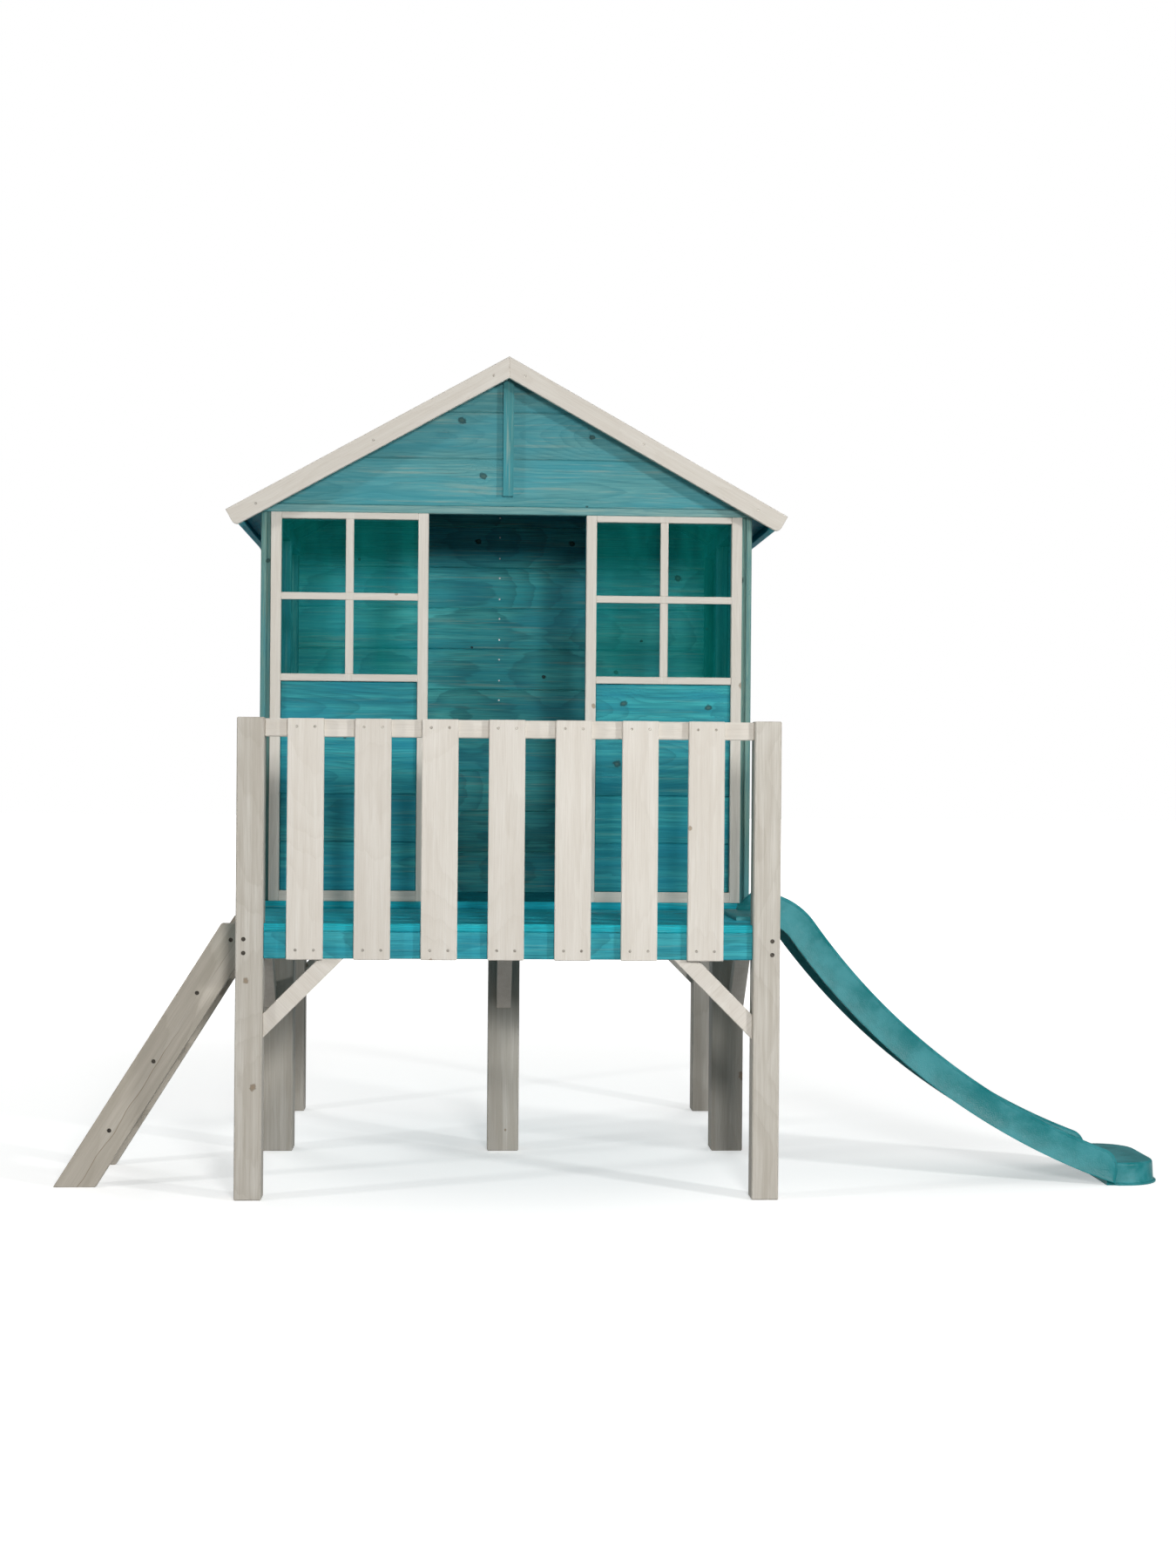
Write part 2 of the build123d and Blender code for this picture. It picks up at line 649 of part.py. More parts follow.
def side_wall(crest=0):
    """The side wall seen from the side: sloped at its start on the lip, round at its end."""
    low = DECK_TOP + LIP
    rise = RIM_LEVEL + crest + 1 - low
    run = rise * NOSE / (RIM_LEVEL - low)
    nose = outline([(SIDE_X - 1, low), (SIDE_X - 1 + run, low + rise), (SIDE_X - 1, low + rise)])
    deck_edge = Pos(HALF_WIDTH - 200, DECK_TOP - 100) * Rectangle(400, 200)
    return side_band(SIDE_X, SIDE_END_X, -crest, 0) - deck_edge - nose


def toe(grow, low, high, start=TOE_START):
    """The D-shaped end of the slide in plan, made solid between two heights."""
    y_mid = (SLIDE_NEAR + SLIDE_FAR) / 2
    half = (SLIDE_FAR - SLIDE_NEAR) / 2 - TOE_INSET + grow
    end = TOE_X + grow
    face = Pos((start + end) / 2, y_mid) * Rectangle(end - start, 2 * half)
    corners = face.vertices().sort_by(Axis.X)[-2:]
    return Pos(0, 0, low) * extrude(fillet(corners, TOE_CORNER + grow), high - low)


def slide():
    """The moulded slide: a shell with double side walls, a deck lip and a rounded toe."""
    inner = (SLIDE_NEAR + RIM_WIDTH, SLIDE_FAR - RIM_WIDTH)
    thin = SLIDE_WALL
    walls = along_y(side_wall(), SLIDE_NEAR, SLIDE_FAR)
    lip = bar((LIP_X, HALF_WIDTH + 60), (SLIDE_NEAR + 5, SLIDE_FAR - 5), (DECK_TOP, DECK_TOP + LIP), 0)
    foot = chamfer(toe(0, 0, TOE_TOP).faces().sort_by(Axis.Z)[-1].edges(), TOE_EASE)
    flange = toe(TOE_FLANGE, 0, TOE_FLANGE_HIGH, SIDE_END_X - thin)
    chute = along_y(above_bed(), *inner)
    hollow = along_y(below_bed(), SLIDE_NEAR + thin, SLIDE_FAR - thin)
    toe_hollow = toe(-thin, -1, TOE_TOP - thin)
    toe_reach = bar((SIDE_END_X, TOE_X + 100), (SLIDE_NEAR - 50, SLIDE_FAR + 50), (-50, 900), 0)
    body = walls - chute - (hollow - toe_reach)
    cavity = side_band(HALF_WIDTH + 2 * thin, SIDE_END_X - thin, thin, 20)
    outer_gap, inner_gap = CREST_IN
    beads = ((SLIDE_NEAR + outer_gap, inner[0] - inner_gap), (inner[1] + inner_gap, SLIDE_FAR - outer_gap))
    for low, high in beads:
        body += along_y(side_wall(CREST), low, high)
    for low, high in ((SLIDE_NEAR, inner[0]), (inner[1], SLIDE_FAR)):
        body -= along_y(cavity, low + thin, high - thin)
    rest = (foot + flange) - toe_hollow - (hollow - toe_reach)
    return body + rest + (lip - chute)


# ---------------------------------------------------------------- build and write
def write(name, pieces):
    """Writes one node; a list becomes a group of separate solids."""
    pieces = pieces if isinstance(pieces, list) else [pieces]
    solids = [solid for piece in pieces for solid in piece.solids()]
    shape = solids[0] if len(solids) == 1 else Compound(children=solids)
    export_step(shape, f"parts/{name}.step")


def main():
    os.makedirs("parts", exist_ok=True)
    post_bolts, post_holes = bolts_and_holes(post_bolt_places(), POST_BOLT)
    ladder_bolts, ladder_holes = bolts_and_holes(ladder_bolt_places(), LADDER_BOLT)
    picket_screws, picket_holes = screws_and_holes(picket_screw_places(), PICKET_SCREW)
    barge_screws, barge_holes = screws_and_holes(barge_screw_places(), BARGE_SCREW)
    brace_screws, brace_holes = screws_and_holes(brace_screw_places(), BRACE_SCREW)
    lip_screws, lip_holes = screws_and_holes(lip_screw_places(), LIP_SCREW)
    nails, nail_holes = pins_and_holes(back_nail_places(), NAIL, NAIL_HEAD, NAIL_SHANK, NAIL_SINK)
    frame_holes = post_holes + picket_holes + brace_holes

    nodes = {}
    for name, side in (("left", -1), ("right", 1)):
        nodes[f"post_front_{name}"] = drilled(corner_post(side, FRONT, POST_TOP), frame_holes)
        nodes[f"post_rear_{name}"] = drilled(corner_post(side, BACK - POST, FRAME_TOP), frame_holes)
        nodes[f"post_mid_{name}"] = drilled(mid_post(side * (HALF_WIDTH - MID_POST / 2)), frame_holes)
        nodes[f"side_beam_{name}"] = drilled(side_beam(side), frame_holes)
        front_brace = corner_brace(side, FASCIA_FRONT)
        nodes[f"brace_front_{name}"] = drilled(front_brace, brace_holes)
        nodes[f"brace_rear_{name}"] = drilled(corner_brace(side, BACK - BEAM), brace_holes)
    nodes["post_mid_centre"] = drilled(mid_post(0), frame_holes)
    for name, x in zip(("left", "centre", "right"), MID_BRACES):
        nodes[f"brace_mid_{name}"] = drilled(mid_brace(x), brace_holes)
    nodes["front_fascia"] = drilled(cross_beam(INNER, FASCIA_FRONT, FASCIA), picket_holes)
    nodes["mid_beam"] = cross_beam(HALF_WIDTH - BEAM, -BEAM / 2, BEAM)
    nodes["rear_beam"] = cross_beam(INNER, BACK - BEAM, BEAM)
    nodes["joists"] = joists()
    nodes["veranda_deck_boards"] = [drilled(board, lip_holes) for board in deck_boards()]
    nodes["house_floor_boards"] = floor_boards()
    rail = bar((-INNER, INNER), (FASCIA_FRONT, FASCIA_BACK), (RAIL_LOW, RAIL_HIGH))
    nodes["top_rail"] = drilled(rail, picket_holes)
    nodes["pickets"] = [drilled(picket(x), picket_holes) for x in picket_middles()]

    nodes["window_frame_right"] = window_frame()
    nodes["window_frame_left"] = [mirrored(piece) for piece in window_frame()]
    nodes["window_panes"] = [window_pane(), mirrored(window_pane())]
    nodes["front_boards_right"] = front_boards()
    nodes["front_boards_left"] = [mirrored(piece) for piece in front_boards()]
    nodes["front_sill"] = front_sill()
    nodes["door_header"] = door_header()
    nodes["gable_boards"] = gable_boards()
    nodes["king_post"] = king_post()
    nodes["back_wall_boards"] = [drilled(board, nail_holes) for board in back_boards()]
    nodes["back_batten"] = drilled(back_batten(), nail_holes)
    nodes["side_boards_right"] = side_boards()
    nodes["side_boards_left"] = [mirrored(piece) for piece in side_boards()]
    nodes["corner_trims"] = corner_trims() + [mirrored(piece) for piece in corner_trims()]
    nodes["front_wall_studs"] = front_studs() + [mirrored(piece) for piece in front_studs()]
    nodes["side_wall_frames"] = side_frame() + [mirrored(piece) for piece in side_frame()]
    nodes["back_wall_studs"] = back_studs()

    nodes["roof_boards_right"] = roof_boards()
    nodes["roof_boards_left"] = [mirrored(piece) for piece in roof_boards()]
    nodes["eave_fascia_right"] = eave_fascia()
    nodes["eave_fascia_left"] = mirrored(eave_fascia())
    for name, y_low in (("front", ROOF_FRONT), ("rear", ROOF_BACK - BARGE)):
        nodes[f"bargeboard_{name}_right"] = drilled(bargeboard(y_low), barge_holes)
        nodes[f"bargeboard_{name}_left"] = drilled(mirrored(bargeboard(y_low)), barge_holes)
    nodes["rafters"] = rafters() + [mirrored(piece) for piece in rafters()]
    nodes["ridge_board"] = ridge_board()
    nodes["ridge_cap"] = ridge_cap()

    nodes["ladder_stringer_near"] = drilled(stringer(LADDER_NEAR), ladder_holes)
    nodes["ladder_stringer_far"] = drilled(stringer(LADDER_FAR - STRINGER), ladder_holes)
    nodes["ladder_treads"] = [drilled(piece, ladder_holes) for piece in treads()]
    nodes["ladder_cleat"] = drilled(ladder_cleat(), ladder_holes)
    nodes["slide"] = drilled(slide(), lip_holes)
    nodes["bolts"] = post_bolts + ladder_bolts
    nodes["balustrade_screws"] = picket_screws
    nodes["trim_screws"] = barge_screws + brace_screws + lip_screws + nails

    for name, pieces in nodes.items():
        write(name, pieces)


main()
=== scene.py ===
import math

import bmesh
import bpy
from mathutils import Matrix, Vector


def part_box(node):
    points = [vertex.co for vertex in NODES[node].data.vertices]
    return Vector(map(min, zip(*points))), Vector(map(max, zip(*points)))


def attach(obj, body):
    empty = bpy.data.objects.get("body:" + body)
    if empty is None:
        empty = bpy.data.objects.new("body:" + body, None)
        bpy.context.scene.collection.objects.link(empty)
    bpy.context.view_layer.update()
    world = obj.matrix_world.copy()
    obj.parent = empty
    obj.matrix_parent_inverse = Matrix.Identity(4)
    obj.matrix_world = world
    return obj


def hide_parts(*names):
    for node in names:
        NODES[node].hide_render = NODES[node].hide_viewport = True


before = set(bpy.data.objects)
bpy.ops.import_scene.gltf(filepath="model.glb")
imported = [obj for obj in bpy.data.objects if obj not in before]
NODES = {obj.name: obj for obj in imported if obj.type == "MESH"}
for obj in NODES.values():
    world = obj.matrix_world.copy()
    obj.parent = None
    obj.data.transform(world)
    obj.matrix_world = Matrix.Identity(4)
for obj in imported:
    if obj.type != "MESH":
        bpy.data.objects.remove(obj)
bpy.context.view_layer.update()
SCENE = bpy.context.scene

# ---------------------------------------------------------------- camera

IMAGE_LONG_SIDE = 1800
SENSOR = 36.0
FOCAL_PIXELS = 2701.0
CAMERA_PLACE = (-0.1217, -7.4096, 1.1728)
CAMERA_YAW = math.radians(-2.957)
CAMERA_PITCH = math.radians(89.822)
CAMERA_ROLL = math.radians(0.448)

camera_data = bpy.data.cameras.new("camera")
camera_data.sensor_width = SENSOR
camera_data.lens = SENSOR * FOCAL_PIXELS / IMAGE_LONG_SIDE
camera_data.clip_end = 200.0
camera = bpy.data.objects.new("camera", camera_data)
camera.matrix_world = (
    Matrix.Translation(CAMERA_PLACE)
    @ Matrix.Rotation(CAMERA_YAW, 4, "Z")
    @ Matrix.Rotation(CAMERA_PITCH, 4, "X")
    @ Matrix.Rotation(CAMERA_ROLL, 4, "Z")
)
SCENE.collection.objects.link(camera)
SCENE.camera = camera
SCENE.view_settings.view_transform = "Standard"


# ---------------------------------------------------------------- node graphs

class Graph:
    """A small writer of shader nodes: each method adds one node and gives its output socket."""

    def __init__(self, name):
        self.material = bpy.data.materials.new(name)
        self.material.use_nodes = True
        self.tree = self.material.node_tree
        self.tree.nodes.clear()
        self.output = self.tree.nodes.new("ShaderNodeOutputMaterial")
        self.shader = self.tree.nodes.new("ShaderNodeBsdfPrincipled")
        self.tree.links.new(self.shader.outputs["BSDF"], self.output.inputs["Surface"])

    def put(self, socket, value):
        if isinstance(value, bpy.types.NodeSocket):
            self.tree.links.new(value, socket)
        else:
            socket.default_value = value

    def add(self, kind, values, out=0, **settings):
        node = self.tree.nodes.new(kind)
        for key, value in settings.items():
            setattr(node, key, value)
        for key, value in values.items():
            self.put(node.inputs[key], value)
        return node.outputs[out]

    def math(self, operation, *values):
        return self.add("ShaderNodeMath", dict(enumerate(values)), operation=operation)

    def vector(self, operation, *values):
        return self.add("ShaderNodeVectorMath", dict(enumerate(values)), operation=operation)

    def split(self, vector):
        node = self.tree.nodes.new("ShaderNodeSeparateXYZ")
        self.put(node.inputs[0], vector)
        return node.outputs[0], node.outputs[1], node.outputs[2]

    def join(self, x, y, z):
        return self.add("ShaderNodeCombineXYZ", {0: x, 1: y, 2: z})

    def noise(self, vector, scale=1.0, detail=3.0, roughness=0.55):
        values = {"Vector": vector, "Scale": scale, "Detail": detail, "Roughness": roughness}
        return self.add("ShaderNodeTexNoise", values, "Fac")

    def spread(self, value, low, high, to_low=0.0, to_high=1.0):
        """A smooth step from to_low to to_high while the value goes from low to high."""
        values = {"Value": value, "From Min": low, "From Max": high, "To Min": to_low, "To Max": to_high}
        return self.add("ShaderNodeMapRange", values, clamp=True, interpolation_type="SMOOTHSTEP")

    def blend(self, amount, first, second):
        """The first colour, with an amount of the second mixed in."""
        node = self.tree.nodes.new("ShaderNodeMix")
        node.data_type = "RGBA"
        self.put(node.inputs[0], amount)
        self.put(node.inputs[6], first)
        self.put(node.inputs[7], second)
        return node.outputs[2]

    def bump(self, height, distance):
        values = {"Height": height, "Distance": distance, "Strength": 1.0}
        self.surface("Normal", self.add("ShaderNodeBump", values))

    def place(self):
        return self.add("ShaderNodeTexCoord", {}, "Object")

    def surface(self, key, value):
        """Sets a number or colour on the shader itself, or links a socket to it."""
        self.put(self.shader.inputs[key], value)


def srgb(red, green, blue):
    """A colour given as 0 to 255 screen values, as linear values with alpha."""
    linear = []
    for level in (red, green, blue):
        level = level / 255.0
        linear.append(level / 12.92 if level <= 0.04045 else ((level + 0.055) / 1.055) ** 2.4)
    return (*linear, 1.0)


# ---------------------------------------------------------------- wood

AXES = {"X": 0, "Y": 1, "Z": 2}
RING_SPACING = 0.0062
KNOT_LENGTH = 1.25                        # how much longer than wide a knot is
KNOT_SMALL, KNOT_LARGE = 0.0030, 0.0085   # knot radii
KNOT_FLOW = 4.5                           # how many radii away the grain still bends round a knot
BOARD_STEP = 23.0                         # the most that the grain moves along from board to board

# added to a board's number: on the other side, in each further row, and for an upright piece
SIDE_STEP, SECOND_STEP, STANDING_STEP = 57.3, 31.7, 3.7

# layers of grain: features per metre along and over the board, noise detail and roughness
STREAKS = (1.6, 46.0, 4.0, 0.60)
FIBRES = (9.0, 420.0, 3.0, 0.65)
PATCHES = (2.4, 7.0, 3.0, 0.55)
WORN = (3.0, 90.0, 5.0, 0.70)
CHECKS = (3.2, 230.0, 2.0, 0.50)

CRACK_BEND = 0.045                        # how far a long crack wanders over the board
CRACK_EDGE = (0.0012, 0.0004)             # distances at which it starts and is fully open


class Boards(Graph):
    """The shader of a row of sawn boards, which works out where a point is in its own board.

    grain and across name the axes along and over the boards, and start and pitch say where the boards
    lie. joints lists the places between uneven boards. second gives the axis, start and pitch of
    further rows. turn is an axis and an angle that bring slanted boards upright. mirrored lays them
    out from the middle to both sides. uprights are X ranges of a frame whose pieces stand up.

    along, over and deep are a point's places along the grain, over the boards and into them. shifted
    is over, moved by a random distance, and within is the place over its own board, in pitches. number,
    and the three random values in chance, differ from board to board."""

    def __init__(self, name, grain, across, start=0.0, pitch=0.15, seed=0.0, turn=None, mirrored=False,
                 second=None, joints=(), uprights=()):
        super().__init__(name)
        self.pitch = pitch
        self.number = seed
        self.point = self.place()
        x, y, z = self.split(self.point)
        if mirrored:
            side = self.math("SIGN", x)
            x = self.math("ABSOLUTE", x)
            self.point = self.join(x, y, z)
        if turn:
            rotate = {"Vector": self.point, "Angle": turn[1]}
            self.point = self.add("ShaderNodeVectorRotate", rotate, rotation_type=turn[0] + "_AXIS")
        parts = self.split(self.point)
        self.along = parts[AXES[grain]]
        self.over = parts[AXES[across]]
        self.deep = parts[3 - AXES[grain] - AXES[across]]
        if uprights:
            self.stand_up(x, uprights)
        row = self.uneven_rows(joints) if joints else self.even_rows(start)
        self.number = self.math("ADD", row, self.number)
        if mirrored:
            self.count_on(side, SIDE_STEP)
        if second:
            axis, first, step = second
            further = self.math("SUBTRACT", parts[AXES[axis]], first)
            self.count_on(self.math("FLOOR", self.math("DIVIDE", further, step)), SECOND_STEP)
        chance = self.add("ShaderNodeTexWhiteNoise", {"W": self.number}, "Color", noise_dimensions="1D")
        self.chance = self.split(chance)
        self.along = self.math("ADD", self.along, self.math("MULTIPLY", self.chance[0], BOARD_STEP))
        self.shifted = self.math("ADD", self.over, self.math("MULTIPLY", self.chance[1], 7.0))

    def count_on(self, count, step):
        """Adds a step to the board's number for each one in count."""
        self.number = self.math("ADD", self.number, self.math("MULTIPLY", count, step))

    def stand_up(self, x, uprights):
        """Swaps along and over where X is in one of the ranges."""
        standing = 0.0
        for low, high in uprights:
            inside = self.math("COMPARE", x, (low + high) / 2, (high - low) / 2)
            standing = self.math("ADD", standing, inside)
        self.along, self.over = (
            self.add("ShaderNodeMix", {0: standing, 2: lying, 3: upright}, data_type="FLOAT")
            for lying, upright in ((self.along, self.over), (self.over, self.along))
        )
        self.count_on(standing, STANDING_STEP)

    def even_rows(self, start):
        """The number of the row that a point is in, where all boards are as wide as the pitch."""
        rows = self.math("DIVIDE", self.math("SUBTRACT", self.over, start), self.pitch)
        row = self.math("FLOOR", rows)
        self.within = self.math("SUBTRACT", rows, row)
        return row

    def uneven_rows(self, joints):
        """The number of the row that a point is in, where the boards differ in width."""
        row, base = 0.0, joints[0] - self.pitch
        for index, joint in enumerate(joints):
            above = self.math("GREATER_THAN", self.over, joint)
            row = self.math("ADD", row, above)
            step = joint - (joints[index - 1] if index else base)
            base = self.math("ADD", base, self.math("MULTIPLY", above, step))
        self.within = self.math("DIVIDE", self.math("SUBTRACT", self.over, base), self.pitch)
        return row

    def knots(self, stretch, share):
        """A share of the stretches of board has a knot. Gives the distance from it in knot radii,
        whether it is there at all, and how far it draws the grain aside."""
        level = self.math("ADD", self.within, self.math("MULTIPLY", self.number, 5.0))
        cell = self.join(self.math("DIVIDE", self.along, stretch), level, 0.0)
        knot = self.tree.nodes.new("ShaderNodeTexVoronoi")
        knot.voronoi_dimensions = "2D"
        self.put(knot.inputs["Vector"], cell)
        self.put(knot.inputs["Scale"], 1.0)
        self.put(knot.inputs["Randomness"], 0.8)
        away_x, away_y, _ = self.split(self.vector("SUBTRACT", cell, knot.outputs["Position"]))
        away_x = self.math("MULTIPLY", away_x, stretch)
        away_y = self.math("MULTIPLY", away_y, self.pitch)
        pick, size, _ = self.split(knot.outputs["Color"])
        present = self.math("GREATER_THAN", pick, 1.0 - share)
        radius = self.spread(size, 0.0, 1.0, KNOT_SMALL, KNOT_LARGE)
        wobble = self.spread(self.noise(self.point, 90.0, 2.0), 0.3, 0.7, 0.8, 1.25)
        long_part = self.math("DIVIDE", self.math("ABSOLUTE", away_x), KNOT_LENGTH)
        long_part = self.math("POWER", long_part, 2.0)
        wide_part = self.math("POWER", self.math("ABSOLUTE", away_y), 2.0)
        reach = self.math("SQRT", self.math("ADD", long_part, wide_part))
        reach = self.math("DIVIDE", self.math("MULTIPLY", reach, wobble), radius)
        flow = self.math("DIVIDE", reach, KNOT_FLOW)
        flow = self.math("EXPONENT", self.math("MULTIPLY", self.math("MULTIPLY", flow, flow), -1.0))
        flow = self.math("MULTIPLY", flow, present)
        return reach, present, self.math("MULTIPLY", away_y, flow)

    def rings(self, drawn):
        """Growth rings, as a flat sawn board shows them: distances from a pith line that wanders.
        drawn is how far a knot draws them aside."""
        across = self.math("MULTIPLY", self.math("SUBTRACT", self.within, 0.5), self.pitch)
        shift = self.math("MULTIPLY", self.math("SUBTRACT", self.chance[1], 0.5), 0.8 * self.pitch)
        pith = self.math("SUBTRACT", across, shift)
        pith = self.math("SUBTRACT", pith, self.math("MULTIPLY", drawn, 0.75))
        length, level = self.math("MULTIPLY", self.along, 1.1), self.math("MULTIPLY", self.number, 3.1)
        wander = self.noise(self.join(length, level, 0.0), 1.0, 2.0)
        depth = self.math("MULTIPLY", self.math("SUBTRACT", wander, 0.5), 0.11)
        depth = self.math("ADD", depth, self.math("MULTIPLY", self.chance[2], 0.06))
        depth = self.math("ADD", self.math("ADD", depth, 0.012), self.deep)
        length, width = self.math("MULTIPLY", self.along, 5.0), self.math("MULTIPLY", self.over, 40.0)
        waver = self.noise(self.join(length, width, self.number), 1.0, 2.0)
        squares = self.math("ADD", self.math("MULTIPLY", pith, pith), self.math("MULTIPLY", depth, depth))
        rings = self.math("ADD", self.math("SQRT", squares), self.math("MULTIPLY", waver, 0.004))
        rings = self.math("FRACT", self.math("DIVIDE", rings, RING_SPACING))
        fade = self.spread(rings, 0.92, 1.0, 1.0, 0.0)
        return self.math("MULTIPLY", self.math("POWER", rings, 2.2), fade)

    def layer(self, lengthwise, crosswise, detail, roughness):
        """Noise that is drawn out along the grain."""
        point = self.join(
            self.math("MULTIPLY", self.along, lengthwise),
            self.math("MULTIPLY", self.shifted, crosswise),
            self.math("MULTIPLY", self.deep, crosswise),
        )
        return self.noise(point, 1.0, detail, roughness)

    def crack(self, middle):
        """One long drying crack that bends about a place over the board."""
        bend = self.noise(self.join(self.math("MULTIPLY", self.along, 3.5), 0.0, 0.0), 1.0, 3.0)
        bend = self.math("MULTIPLY", self.math("SUBTRACT", bend, 0.5), CRACK_BEND)
        aside = self.math("SUBTRACT", self.over, self.math("ADD", bend, middle))
        aside = self.math("ABSOLUTE", aside)
        opened = self.noise(self.join(self.math("MULTIPLY", self.along, 2.1), 3.0, 0.0))
        opened = self.spread(opened, 0.36, 0.50)
        return self.math("MULTIPLY", self.math("MULTIPLY", self.spread(aside, *CRACK_EDGE), opened), 2.2)


def wood(name, look, crack=None, **layout):
    """Sawn boards with a stain or paint. layout says how the boards lie, and crack is the place of a
    long drying crack over the board."""
    g = Boards(name, **layout)
    reach, present, drawn = g.knots(look["knot_stretch"], look["knot_share"])
    knots = g.math("MULTIPLY", g.spread(reach, 1.5, 0.9), present)
    hearts = g.math("MULTIPLY", g.spread(reach, 0.75, 0.35), present)
    rings = g.rings(drawn)
    streaks, fibres, patches, worn, checks = (
        g.layer(*numbers) for numbers in (STREAKS, FIBRES, PATCHES, WORN, CHECKS)
    )
    checks = g.spread(checks, 0.71, 0.77)
    if crack:
        checks = g.math("MAXIMUM", checks, g.crack(crack))

    # the colour, from the layer below to the layer on top: amount, share and tone
    colour = g.blend(g.spread(streaks, 0.33, 0.68), look["dark"], look["light"])
    for amount, share, tone_name in (
        (rings, look["rings"], "ring_tone"),
        (g.spread(fibres, 0.42, 0.70), look["fibres"], "ring_tone"),
        (g.spread(patches, 0.42, 0.64), look["patches"], "patch_tone"),
        (g.spread(worn, 0.53, 0.70), look["worn"], "worn_tone"),
        (checks, look["checks"], "knot_tone"),
        (knots, look["knots"], "knot_tone"),
        (hearts, 0.7 * look["knots"], "heart_tone"),
    ):
        colour = g.blend(g.math("MULTIPLY", amount, share), colour, look[tone_name])
    tone = g.spread(g.chance[2], 0.0, 1.0, 1.0 - look["tone"], 1.0 + look["tone"])
    colour = g.add("ShaderNodeVectorMath", {0: colour, "Scale": tone}, operation="SCALE")

    height = g.math("ADD", g.math("MULTIPLY", rings, -0.5), g.math("MULTIPLY", fibres, 0.9))
    height = g.math("ADD", height, g.math("MULTIPLY", streaks, 0.6))
    height = g.math("SUBTRACT", height, g.math("MULTIPLY", knots, 0.4))
    g.bump(height, look["relief"])
    g.surface("Base Color", colour)
    g.surface("Roughness", g.spread(streaks, 0.3, 0.7, look["rough"] - 0.07, look["rough"] + 0.07))
    g.surface("Specular IOR Level", look["gloss"])
    return g.material


def look(**changes):
    """The numbers and tones of a finish: shares of each layer, from 0 to 1, relief in metres."""
    base = dict(
        knot_stretch=0.36, knot_share=0.45, rings=0.35, fibres=0.3, patches=0.35, worn=0.25, knots=0.8,
        checks=0.6, tone=0.07, relief=0.0007, rough=0.62, gloss=0.35,
    )
    base.update(changes)
    return base


PANEL = look(
    dark=srgb(18, 128, 142), light=srgb(60, 166, 170), ring_tone=srgb(12, 96, 108),
    patch_tone=srgb(22, 144, 172), worn_tone=srgb(124, 172, 156), knot_tone=srgb(26, 58, 60),
    heart_tone=srgb(70, 104, 96), rings=0.5, fibres=0.6, patches=0.35, worn=0.30, tone=0.12, gloss=0.2,
)
FASCIA = dict(PANEL, dark=srgb(34, 150, 166), light=srgb(66, 174, 182), worn=0.25)
DECK = dict(PANEL, dark=srgb(2, 160, 178), light=srgb(26, 184, 196), worn=0.35)
GABLE = dict(
    PANEL, dark=srgb(70, 142, 148), light=srgb(104, 162, 162), ring_tone=srgb(48, 116, 124),
    patch_tone=srgb(48, 150, 166), worn_tone=srgb(150, 170, 158), worn=0.5,
)
HEADER = dict(GABLE, dark=srgb(100, 150, 150), light=srgb(126, 162, 158))
# the inside back wall: the panel stain made lighter as painted light, standing in for light through the
# door and windows; its wear and knots are real
LIT_BACK_WALL = dict(PANEL, dark=srgb(42, 170, 178), light=srgb(94, 204, 202), worn=0.45,
                 worn_tone=srgb(150, 182, 168), knot_share=0.6, knots=1.0)
WHITE = look(
    dark=srgb(211, 205, 195), light=srgb(220, 215, 206), ring_tone=srgb(186, 176, 162),
    patch_tone=srgb(202, 194, 182), worn_tone=srgb(224, 221, 214), knot_tone=srgb(138, 118, 94),
    heart_tone=srgb(170, 150, 124), rings=0.16, fibres=0.28, patches=0.2, worn=0.35, knots=0.7,
    knot_share=0.4, checks=0.25, tone=0.02, rough=0.62, gloss=0.25,
)
POST_WOOD = look(
    dark=srgb(182, 176, 165), light=srgb(203, 199, 190), ring_tone=srgb(158, 150, 136),
    patch_tone=srgb(176, 169, 157), worn_tone=srgb(210, 207, 200), knot_tone=srgb(120, 102, 80),
    heart_tone=srgb(150, 130, 104), rings=0.25, fibres=0.35, knots=0.7, knot_share=0.4, checks=0.35,
    tone=0.03, rough=0.65, gloss=0.25,
)
# a darker copy of the post wood for the posts under the deck: painted shade, the same timber as the front
# posts
SHADED_POST_WOOD = dict(POST_WOOD, dark=srgb(168, 163, 153), light=srgb(188, 185, 177))
LADDER_WOOD = dict(POST_WOOD, dark=srgb(174, 167, 154), light=srgb(194, 187, 175), rings=0.4, knots=0.8)
TRIM = dict(GABLE, dark=srgb(100, 140, 132), light=srgb(128, 158, 146))
KING = dict(GABLE, dark=srgb(54, 124, 126), light=srgb(76, 136, 138))
FRAMING = dict(PANEL, dark=srgb(20, 104, 114), light=srgb(50, 134, 138), rings=0.5)

SLOPE = math.radians(29.1)             # of the roof
LADDER_SLOPE = math.radians(58.0)
BRACE_SLOPE = math.radians(45)
APEX = 2.456
TOP_DOWN = APEX * math.sin(SLOPE)      # the apex, once a roof slope is turned level
TOP_OUT = APEX * math.cos(SLOPE)
STILES = ((0.2425, 0.2765), (0.4720, 0.4985), (0.6940, 0.7280))
FRONT_JOINTS = (0.966, 1.113, 1.300)
GABLE_JOINTS = (2.151, 2.296)
FRAME_LOW, DECK_TOP = 0.66, 0.762      # heights of the beams' lower edge, and of the deck
PICKET_PITCH = 0.1846
PICKET_ROW = -0.0100 - 3.5 * PICKET_PITCH
ROOF_ROW = 0.118

